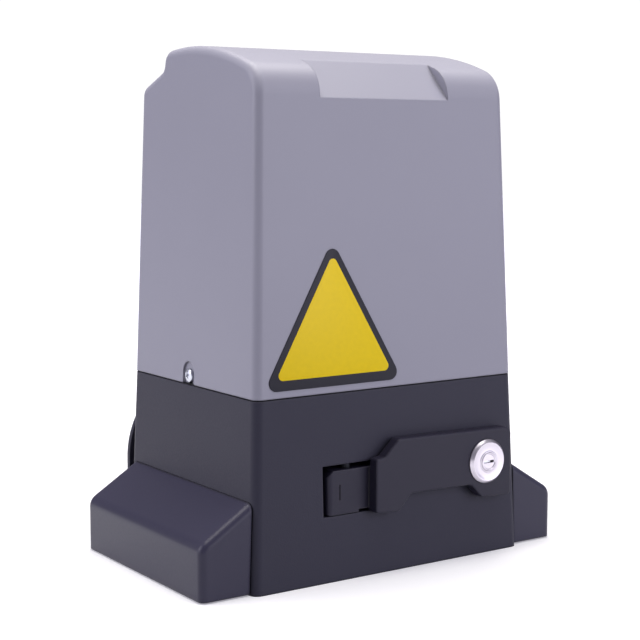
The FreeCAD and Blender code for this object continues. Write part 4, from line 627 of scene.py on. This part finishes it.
# %% [markdown]
# ## Bare warning plate
# Gate drives carry a triangular plate on the front of the hood, about 100 mm wide over its rounded corners.
# It is left bare here: a dark rim and a plain yellow field. One plate with two colours would do from far
# off. Two thin plates, the yellow one lying on the dark one, make the rim a real step that catches light.
# Two lines cast at the hood give the slope of its front wall, and the plates are laid on that slope.

# %% Warning plate
def triangle(side, inset):
    """The corners of an upright triangle round its centre, drawn in from every side by the inset."""
    reach = side / math.sqrt(3) - 2 * inset
    directions = (math.pi / 2, math.pi * 7 / 6, math.pi * 11 / 6)
    return [(reach * math.cos(t), reach * math.sin(t)) for t in directions]


# The side runs between the sharp corners, before they are rounded.
plate_side, plate_rim, plate_thickness = 107.0, 5.0, 0.5
rim_corner, rim_edge = 5.5, 0.15
field_corner, field_edge, field_thickness = 3.2, 0.05, 0.15
plate_x = -45.0
field_rise = 1.5
plate_clearance = 4.3
plate_foot = hood_low.z + plate_clearance
plate_middle = plate_foot + plate_side / math.sqrt(12)

# Both lines start well in front of the hood, near the foot and near the top of the plate.
in_front = hood_low.y - 50
wall_low = touch("upper_cover", (plate_x, in_front, plate_foot), (0, 1, 0))
wall_high = touch("upper_cover", (plate_x, in_front, plate_foot + plate_side * 0.8), (0, 1, 0))
wall_up = (wall_high - wall_low).normalized()
wall_out = Vector((1, 0, 0)).cross(wall_up)
wall_frame = Matrix((Vector((1, 0, 0)), wall_up, wall_out)).transposed().to_4x4()
rim_point = wall_low + wall_up * (plate_middle - plate_foot)
field_point = rim_point + wall_out * plate_thickness + wall_up * field_rise
print("the hood's front leans back by", round(math.degrees(math.atan2(wall_up.y, wall_up.z)), 1), "degrees")

# %% Rim and field
rim_outline = rounded_outline(triangle(plate_side, 0), rim_corner)
field_outline = rounded_outline(triangle(plate_side, plate_rim), field_corner)
rim_shape = plate(rim_outline, plate_thickness, rim_edge)
rim_shape.transform(Matrix.Translation(rim_point) @ wall_frame)
field_shape = plate(field_outline, field_thickness, field_edge)
field_shape.transform(Matrix.Translation(field_point) @ wall_frame)
finish_piece("warning_plate_rim", rim_shape, printed_vinyl_dark, "hood")
finish_piece("warning_plate_field", field_shape, printed_vinyl_yellow, "hood")


# %% [markdown]
# ## Cross-recessed pan-head screws
# The hood is held by a zinc-plated pan-head screw on each side. The head is a low dome, 4.5 mm in radius,
# with a cross-shaped recess. It is turned as a dome and the cross is cut out with a tapered tool, the way
# the cold-heading punch presses it in. A bump in the material could fake the cross, but not its dark, deep
# middle. The shank shows when the hood is lifted off, so it is kept, with plain grooves for its thread.

# %% Hood screw
thread_pitch, thread_root, shank_tip = 0.9, 0.86, 0.8
dome_share = 0.55
dome_steps = 8
punch_taper = 0.45


def pan_head_screw(head_radius, head_height, shank_radius, shank_length):
    """A screw along Z, its head standing on the origin and its shank going down."""
    dome = dome_share * head_height
    profile = [(0.0, -shank_length), (shank_radius * 0.7, -shank_length),
               (shank_radius, -shank_length + shank_tip)]
    turns = int(shank_length / thread_pitch)
    for i in range(1, turns):
        height = -shank_length + shank_tip + i * (shank_length - 1.0) / turns
        profile.append((shank_radius * (thread_root if i % 2 else 1.0), height))
    profile += [(shank_radius * 0.9, 0.0), (head_radius - 0.15, 0.0), (head_radius, 0.15)]
    profile.append((head_radius, head_height - dome))
    for i in range(1, dome_steps):
        t = math.pi / 2 * i / dome_steps
        profile.append((head_radius * math.cos(t), head_height - dome + dome * math.sin(t)))
    head = turned(profile + [(0.0, head_height)])
    wing, half_slot = head_radius * 0.62, head_radius * 0.2
    for turn in (0, math.pi / 2):
        punch = bmesh.new()
        bmesh.ops.create_cube(punch, size=1.0)
        for v in punch.verts:
            taper = 1.0 if v.co.z > 0 else punch_taper
            v.co = Vector((v.co.x * 2 * wing * taper, v.co.y * 2 * half_slot * taper,
                           v.co.z * head_height * 1.1))
        punch.transform(Matrix.Translation((0, 0, head_height)) @ Matrix.Rotation(turn, 4, "Z"))
        head = cut_out(head, punch)
    return head


# %% Both hood screws
screw_low, screw_high = box_mm("cover_screws")
screw_y = (screw_low.y + screw_high.y) / 2
screw_z = (screw_low.z + screw_high.z) / 2
screw_reach = screw_high.x
head_radius = (screw_high.z - screw_low.z) / 2
head_height = 2.6
shank_radius, shank_length = 2.45, 8.0
screw_turn = math.radians(20)
for side, name in ((-1, "left_hood_screw"), (1, "right_hood_screw")):
    screw = pan_head_screw(head_radius, head_height, shank_radius, shank_length)
    screw.transform(Matrix.Rotation(screw_turn, 4, "Z"))
    set_at(screw, (side * (screw_reach - head_height), screw_y, screw_z), (side, 0, 0))
    screw_piece = finish_piece(name, screw, zinc_plate, "body")
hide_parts("cover_screws")


# %% [markdown]
# ## Limit switch wand
# The wand behind the hood is a close coil of spring wire on a pivot block, with a rubber tip. The frame's
# coil is faceted to keep the machine light. Here the wire is a real helix with a round section, made as a
# curve with thickness, which is how a coil is best drawn: the curve holds the winding, the bevel holds the
# wire.

# %% Spring helper
def spring_shape(start, length, radius, wire, turns, per_turn=28):
    """A helical spring along +Y. The radius is that of the winding, and wire is the wire's own radius."""
    curve = bpy.data.curves.new("helix", "CURVE")
    curve.dimensions = "3D"
    curve.bevel_depth = wire
    curve.bevel_resolution = 3
    curve.use_fill_caps = True
    line = curve.splines.new("POLY")
    count = turns * per_turn
    line.points.add(count)
    for i, point in enumerate(line.points):
        angle = 2 * math.pi * i / per_turn
        along_axis = wire + (length - 2 * wire) * i / count
        point.co = (start[0] + radius * math.cos(angle), start[1] + along_axis,
                    start[2] + radius * math.sin(angle), 1.0)
    holder = bpy.data.objects.new("helix", curve)
    bpy.context.scene.collection.objects.link(holder)
    bpy.context.view_layer.update()
    mesh = bpy.data.meshes.new_from_object(holder.evaluated_get(bpy.context.evaluated_depsgraph_get()))
    shape = bmesh.new()
    shape.from_mesh(mesh)
    bpy.data.objects.remove(holder)
    print("spring:", turns, "turns of", 2 * wire, "mm wire")
    return shape


# %% Wand
wand_low, wand_high = box_mm("limit_spring")
wand_x = (wand_low.x + wand_high.x) / 2
tip_radius = 5.0
wand_z = box_mm("limit_tip")[0].z + tip_radius
knuckle_radius, knuckle_edge = 4.5, 0.5
knuckle_y = wand_low.y + knuckle_radius
knuckle_height = wand_high.z - wand_low.z
knuckle = turned([(0.0, 0.0), (knuckle_radius - knuckle_edge, 0.0), (knuckle_radius, knuckle_edge),
                  (knuckle_radius, knuckle_height - knuckle_edge),
                  (knuckle_radius - knuckle_edge, knuckle_height), (0.0, knuckle_height)])
set_at(knuckle, (wand_x, knuckle_y, wand_low.z))

stem_radius = 2.3
stem_length = wand_high.y - knuckle_y - 0.3
stem = turned([(0.0, 0.0), (stem_radius, 0.0), (stem_radius, stem_length), (0.0, stem_length)], 24)
set_at(stem, (wand_x, knuckle_y, wand_z), (0, 1, 0))

coil_radius, coil_wire, coil_turns = 3.4, 1.0, 15
coil_start = knuckle_y + knuckle_radius + 0.5
winding = spring_shape((wand_x, coil_start, wand_z), wand_high.y - coil_start, coil_radius, coil_wire,
                       coil_turns)
whole_wand = put_together(knuckle, stem, winding)
wand = finish_piece("limit_wand_coil", whole_wand, spring_wire, "limit_wand")
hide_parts("limit_spring")


# %% [markdown]
# ## Clutch spring
# Behind the worm wheel a stout spring pushes the clutch sleeve home. It is wound from round wire as well, a
# little thicker than the wand's. When the release lever swings out, the sleeve slides back and the spring
# shortens by the sleeve's travel. The coil is tied to the output body.

# %% Clutch spring
clutch_low, clutch_high = box_mm("clutch_spring")
clutch_middle = (clutch_low + clutch_high) / 2
clutch_wire, clutch_turns = 1.2, 5
clutch_radius = (clutch_high.x - clutch_low.x) / 2 - clutch_wire
coil_shape = spring_shape((clutch_middle.x, clutch_low.y, clutch_middle.z), clutch_high.y - clutch_low.y,
                          clutch_radius, clutch_wire, clutch_turns)
coil_piece = finish_piece("clutch_coil", coil_shape, spring_wire, "output")
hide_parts("clutch_spring")
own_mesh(coil_piece)


# %% [markdown]
# ## Lock escutcheon
# A cam lock sits in the end of the release lever. Its escutcheon is a turned zinc disc with satin chrome on
# it: a bevelled rim, a face dished by a few tenths of a millimetre, and a small raised collar round the
# plug. A flat disc would be simpler. The dish is what makes the chrome look turned, because it gathers the
# light of one panel on one side.

# %% Escutcheon and barrel
lock_low, lock_high = box_mm("lock_body")
lock_x, lock_z = (lock_low.x + lock_high.x) / 2, (lock_low.z + lock_high.z) / 2
lock_radius = (lock_high.x - lock_low.x) / 2
plug_low, plug_high = box_mm("lock_plug")
plug_radius = lock_x - plug_low.x
escutcheon_height = 3.0
lever_front = lock_low.y + escutcheon_height
barrel_radius = 9.0
barrel_length = lock_high.y - lever_front
bore = plug_radius + 0.1
barrel = [(bore, -barrel_length), (barrel_radius, -barrel_length), (barrel_radius, 0.0), (lock_radius, 0.0)]
bevelled_rim = [(lock_radius, 0.9), (lock_radius - 0.3, 1.3), (lock_radius - 1.5, escutcheon_height - 0.3),
                (lock_radius - 1.9, escutcheon_height)]
dished_face = [(lock_radius - 2.4, escutcheon_height), (lock_radius - 3.2, escutcheon_height - 0.35),
               (plug_radius + 2.2, escutcheon_height - 0.7), (plug_radius + 1.4, escutcheon_height - 0.6)]
raised_collar = [(plug_radius + 0.9, escutcheon_height - 0.15),
                 (plug_radius + 0.4, escutcheon_height - 0.1), (bore, escutcheon_height - 0.3)]
escutcheon = turned(barrel + bevelled_rim + dished_face + raised_collar, 96, hollow=True)
set_at(escutcheon, (lock_x, lever_front, lock_z), (0, -1, 0))
escutcheon_piece = finish_piece("lock_escutcheon", escutcheon, satin_chrome, "lever", crease=24)
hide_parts("lock_body")


# %% [markdown]
# ## Lock plug
# The plug is what the key turns. Its face is a shallow bowl with a key slot milled across it. A
# spring-loaded shutter closes most of the slot against dust. A black strip could stand in for the slot; a
# real cut with a floor and a shutter in it stays right from every side. A thin black block on the slot's
# floor is painted shade: it stands in for the dark depth of the keyway where the key's opening shows.

# %% Plug
plug_face = lever_front - plug_low.y
plug_depth = plug_high.y - lever_front
bowl_depth = 0.45
slot_long, slot_wide, slot_deep = 8.6, 1.7, 2.4
plug_shape = turned([(0.0, -plug_depth), (plug_radius, -plug_depth), (plug_radius, plug_face - 0.3),
                     (plug_radius - 0.3, plug_face), (plug_radius - 0.9, plug_face),
                     (plug_radius - 1.3, plug_face - bowl_depth), (0.0, plug_face - bowl_depth)], 72)
plug_shape = cut_out(plug_shape, set_at(block(slot_long, slot_wide, 2 * slot_deep, 0.1),
                                        (0, 0, plug_face - bowl_depth - slot_deep)))
set_at(plug_shape, (lock_x, lever_front, lock_z), (0, -1, 0))
plug_piece = finish_piece("lock_key_plug", plug_shape, satin_chrome, "lock", crease=24)
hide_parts("lock_plug")

# %% Shutter and painted keyway shade
shutter_long = 5.8
shutter = block(shutter_long, slot_wide - 0.3, slot_deep - 0.6, 0.12)
# Painted shade: a thin black block on the slot's floor stands in for the dark depth of the keyway.
keyway_shade = block(slot_long - 0.2, slot_wide - 0.1, 0.4, 0.05)
slot_floor = lever_front - (plug_face - bowl_depth - slot_deep)
set_at(shutter, (lock_x - (slot_long - shutter_long) / 2 + 0.15, slot_floor - 0.1, lock_z), (0, -1, 0))
set_at(keyway_shade, (lock_x, slot_floor - 0.02, lock_z), (0, -1, 0))
finish_piece("lock_shutter", shutter, zinc_plate, "lock")
finish_piece("lock_keyway_shade", keyway_shade, polyamide_black, "lock")


# %% [markdown]
# ## The board's face
# With the hood off, the board shows what every gate controller carries. All its small parts stand on one
# face, so one helper places a shape there, and loops repeat what repeats. Each part could be its own
# object; pieces of one kind share one, because they are soldered to the same board and never move apart.

# %% Board helper
board_face = box_mm("control_board")[0].x


def on_board(shape, y, z, lift=0.0):
    """Stands a shape on the board's face, its Z axis pointing away from the board."""
    return set_at(shape, (board_face - lift, y, z), (-1, 0, 0))


print("the board's face is at x =", round(board_face, 1), "mm")


# %% [markdown]
# ## Electrolytic capacitors
# Three smoothing capacitors stand beside the supply: two large ones and a small one. Each is a drawn can in
# a black sleeve, pinched near its foot where the rubber seal sits, with a lid sunk by a quarter of a
# millimetre. A cylinder would do for the body; the pinch and the lid are what makes it a capacitor, and a
# profile gives both at once.

# %% Electrolytic capacitors
def electrolytic(radius, height):
    """A can with a pinched neck near its foot and a slightly sunk lid."""
    return turned([(0.0, 0.0), (radius * 0.9, 0.0), (radius, 0.4), (radius, 1.2), (radius * 0.93, 1.7),
                   (radius, 2.2), (radius, height - 0.5), (radius - 0.4, height), (radius * 0.8, height),
                   (radius * 0.76, height - 0.25), (0.0, height - 0.25)], 40)


large_can_z, small_can_z = 146.0, 161.0
cans = [on_board(electrolytic(5.0, 16.0), y, large_can_z) for y in (13.0, 26.0)]
cans.append(on_board(electrolytic(4.0, 11.5), 19.5, small_can_z))
finish_piece("board_capacitors", put_together(*cans), polyamide_black, "body")


# %% [markdown]
# ## Resistors
# Seven resistors lie in a row, each an enamelled body with thicker ends, on a wire that bends down into the
# board. The body is turned from one profile. Straight legs stand in for the bends, which are less than a
# millimetre wide.

# %% Resistors
resistor_count, resistor_pitch = 7, 4.6
first_resistor_y, resistor_z, resistor_lift = -42.0, 216.0, 1.4
lead_radius, leg_length = 0.3, 1.6
wire_low, wire_high = -1.8, 8.2
resistor_profile = [(0.0, 0.0), (0.9, 0.1), (1.25, 0.5), (1.25, 1.3), (1.0, 1.7), (1.0, 4.7), (1.25, 5.1),
                    (1.25, 5.9), (0.9, 6.3), (0.0, 6.4)]
wire_profile = [(0.0, wire_low), (lead_radius, wire_low), (lead_radius, wire_high), (0.0, wire_high)]
leg_profile = [(0.0, -0.2), (lead_radius, -0.2), (lead_radius, leg_length), (0.0, leg_length)]
resistors = []
for i in range(resistor_count):
    resistor_y = first_resistor_y + i * resistor_pitch
    axis_point = (board_face - resistor_lift, resistor_y, resistor_z)
    resistors.append(set_at(turned(resistor_profile, 20), axis_point))
    resistors.append(set_at(turned(wire_profile, 12), axis_point))
    for rise in (wire_low + 0.2, wire_high - 0.2):
        resistors.append(on_board(turned(leg_profile, 12), resistor_y, resistor_z + rise))
finish_piece("board_resistors", put_together(*resistors), resistor_enamel, "body")


# %% [markdown]
# ## Slide switches
# A red block of eight slide switches sets how the drive behaves. The block is one moulding, and each white
# slider is a small cube that stands either up or down. Sliders as real cubes show their setting from any
# side.

# %% Slide switches
switch_y, switch_z, switch_ways, way_pitch = 12.0, 243.0, 8, 2.5
slider_throw, slider_foot = 1.2, 4.4
switch_case = block(way_pitch * switch_ways + 1, 9.0, 4.5, 0.3)
finish_piece("switch_block", on_board(switch_case, switch_y, switch_z), switch_red, "body")
sliders = []
for i in range(switch_ways):
    slider_y = switch_y + (i - (switch_ways - 1) / 2) * way_pitch
    slider_z = switch_z + (slider_throw if i % 3 else -slider_throw)
    sliders.append(on_board(block(1.2, 1.6, 1.2, 0.2), slider_y, slider_z, lift=slider_foot))
finish_piece("switch_sliders", put_together(*sliders), polypropylene_white, "body")


# %% [markdown]
# ## Trimmers
# Three trimmers set force and times with a screwdriver. Each is a square case with a round dial that has a
# slot. The slot is cut out of the dial, since a dark line on top would look flat when the light comes from
# the side.

# %% Trimmers
trimmer_count, trimmer_pitch = 3, 9.0
first_trimmer_y, trimmer_z, dial_foot = -6.0, 229.0, 4.4
trimmers = []
for i in range(trimmer_count):
    trimmer_y = first_trimmer_y - trimmer_pitch * i
    case = on_board(block(6.5, 6.5, 4.5, 0.3), trimmer_y, trimmer_z)
    dial = turned([(0.0, 0.0), (2.3, 0.0), (2.3, 0.8), (2.1, 1.0), (0.0, 1.0)], 32)
    dial = cut_out(dial, set_at(block(3.6, 0.7, 1.0, 0.05), (0, 0, 0.5)))
    trimmers += [case, on_board(dial, trimmer_y, trimmer_z, lift=dial_foot)]
finish_piece("board_trimmers", put_together(*trimmers), relay_blue, "body")


# %% [markdown]
# ## Status lamps
# Five red lamps show which input is active. Each is an epoxy dome on a wider collar, cast in one mould, so
# one turned profile gives the whole lamp. They are off here, so the material doesn't glow.

# %% Status lamps
lamp_count, lamp_pitch, lamp_z = 5, 6.0, 252.3
lamp_profile = [(0.0, 0.0), (1.9, 0.0), (1.9, 0.8), (1.5, 0.9), (1.5, 3.0), (1.3, 3.7), (0.8, 4.3),
                (0.0, 4.5)]
lamps = [on_board(turned(lamp_profile, 28), lamp_pitch * i, lamp_z) for i in range(lamp_count)]
finish_piece("status_lamps", put_together(*lamps), lamp_red, "body")


# %% [markdown]
# ## Terminal screws
# Each way of the green terminal block has a slotted screw that clamps a wire. The screws stand where
# whoever wired the drive left them, so each is turned a little further than the last. A loop spaces them
# from the block's own box, and they stay in place if the block grows.

# %% Terminal screws
terminal_low, terminal_high = box_mm("terminal_block")
terminal_ways = 12
terminal_pitch = (terminal_high.y - terminal_low.y) / terminal_ways
terminal_screw_z = terminal_high.z - 3.2
screw_step = math.radians(37)
terminal_heads = []
for i in range(terminal_ways):
    head = turned([(0.0, -0.5), (1.8, -0.5), (1.8, 0.2), (1.6, 0.4), (0.0, 0.4)], 28)
    head = cut_out(head, set_at(block(3.8, 0.5, 1.0, 0.04), (0, 0, 0.0)))
    head.transform(Matrix.Rotation(screw_step * i, 4, "Z"))
    head_point = (terminal_low.x, terminal_low.y + (i + 0.5) * terminal_pitch, terminal_screw_z)
    terminal_heads.append(set_at(head, head_point, (-1, 0, 0)))
finish_piece("terminal_screws", put_together(*terminal_heads), zinc_plate, "body")


# %% [markdown]
# ## Floor
# The machine stands on a wide sheet of white paper. A curved backdrop would hide the horizon; here the
# floor glows instead, weakly under the object and more further off, until it is as white as the room. Close
# by the glow is weak enough for a soft shadow. Its own bounce is switched off for diffuse rays, since it
# would light the dark body from below and turn it grey. Paper fibre is finer than a tenth of a millimetre,
# so it is drawn coarser, at 2.5 mm.

# %% Floor
floor_half = 6.0
fibre_size = 2.5
glow_start, glow_full = 0.4, 2.2
near_glow, far_glow = 0.25, 0.95
floor_mesh = bpy.data.meshes.new("studio_floor")
floor_corners = [(x * floor_half, y * floor_half, 0) for x, y in ((-1, -1), (1, -1), (1, 1), (-1, 1))]
floor_mesh.from_pydata(floor_corners, [], [(0, 1, 2, 3)])
floor = bpy.data.objects.new("studio_floor", floor_mesh)
bpy.context.scene.collection.objects.link(floor)
floor_paper, output, place = start_material("matt white studio paper")
fibre = add_node(floor_paper, "ShaderNodeTexNoise", {"Vector": place, "Scale": 1.0 / (fibre_size * MM),
                                                     "Detail": 3.0})
rough = add_node(floor_paper, "ShaderNodeMapRange", {"Value": fibre.outputs[0], "To Min": 0.85,
                                                     "To Max": 0.95})
distance = add_node(floor_paper, "ShaderNodeVectorMath", {0: place}, operation="LENGTH")
backlight = add_node(floor_paper, "ShaderNodeMapRange", {"Value": distance.outputs["Value"],
                                                         "From Min": glow_start, "From Max": glow_full,
                                                         "To Min": near_glow, "To Max": far_glow})
shader = add_node(floor_paper, "ShaderNodeBsdfPrincipled", {"Base Color": (0.80, 0.80, 0.80, 1.0),
                                                           "Roughness": rough.outputs[0],
                                                           "Emission Color": (1.0, 0.99, 1.10, 1.0),
                                                           "Emission Strength": backlight.outputs[0]})
finish_material(floor_paper, output, shader)
floor_mesh.materials.append(floor_paper)
floor.visible_diffuse = False


# %% [markdown]
# ## Light
# Catalogue light is soft and comes from large panels: one at the left, one in front to the right and one
# above. A point lamp would give hard shadows and tiny highlights. An area light as large as a real softbox
# gives the broad, soft band along each rounded edge. The two at the sides are about equal, so that neither
# wall of the hood sinks into shade, and the strong one above brightens the crest.

# %% Panels
studio_tint = "f3f1ff"


def panel(name, place, size, power, tint=studio_tint):
    """A softbox: a square area light that points at the machine. Size in metres, power in watts."""
    light = bpy.data.lights.new(name, "AREA")
    light.shape = "RECTANGLE"
    light.size = size
    light.size_y = size
    light.energy = power
    light.color = colour(tint)[:3]
    lamp = bpy.data.objects.new(name, light)
    lamp.location = place
    lamp.rotation_euler = (machine_middle - Vector(place)).to_track_quat("-Z", "Y").to_euler()
    bpy.context.scene.collection.objects.link(lamp)
    print("panel:", name, power, "W")


machine_middle = Vector((0.0, 0.0, 0.17))
panel("left_panel", (-1.95, 0.80, 0.95), 1.4, 24)
panel("front_panel", (0.95, -1.85, 0.70), 1.4, 21)
panel("top_panel", (0.1, 0.2, 2.0), 1.8, 53, tint="fffcf6")


# %% [markdown]
# ## White room
# The picture has no visible horizon. The room is plain white to the camera, while the light that it sends
# to the object is weaker, as in a studio where only the background is lit hard. One background for both
# would either be grey or flood the object with light from all sides. The Standard view transform keeps the
# hex colours as they are.

# %% Room
world = bpy.data.worlds.new("white_room")
world.use_nodes = True
world.node_tree.nodes.clear()
room_seen = add_node(world, "ShaderNodeBackground", {"Color": (1.0, 1.0, 1.0, 1.0), "Strength": 1.05})
room_light = add_node(world, "ShaderNodeBackground", {"Color": colour(studio_tint), "Strength": 0.30})
ray = add_node(world, "ShaderNodeLightPath")
either = add_node(world, "ShaderNodeMixShader", {0: ray.outputs["Is Camera Ray"], 1: room_light.outputs[0],
                                                2: room_seen.outputs[0]})
add_node(world, "ShaderNodeOutputWorld", {"Surface": either.outputs[0]})
bpy.context.scene.world = world
bpy.context.scene.view_settings.view_transform = "Standard"
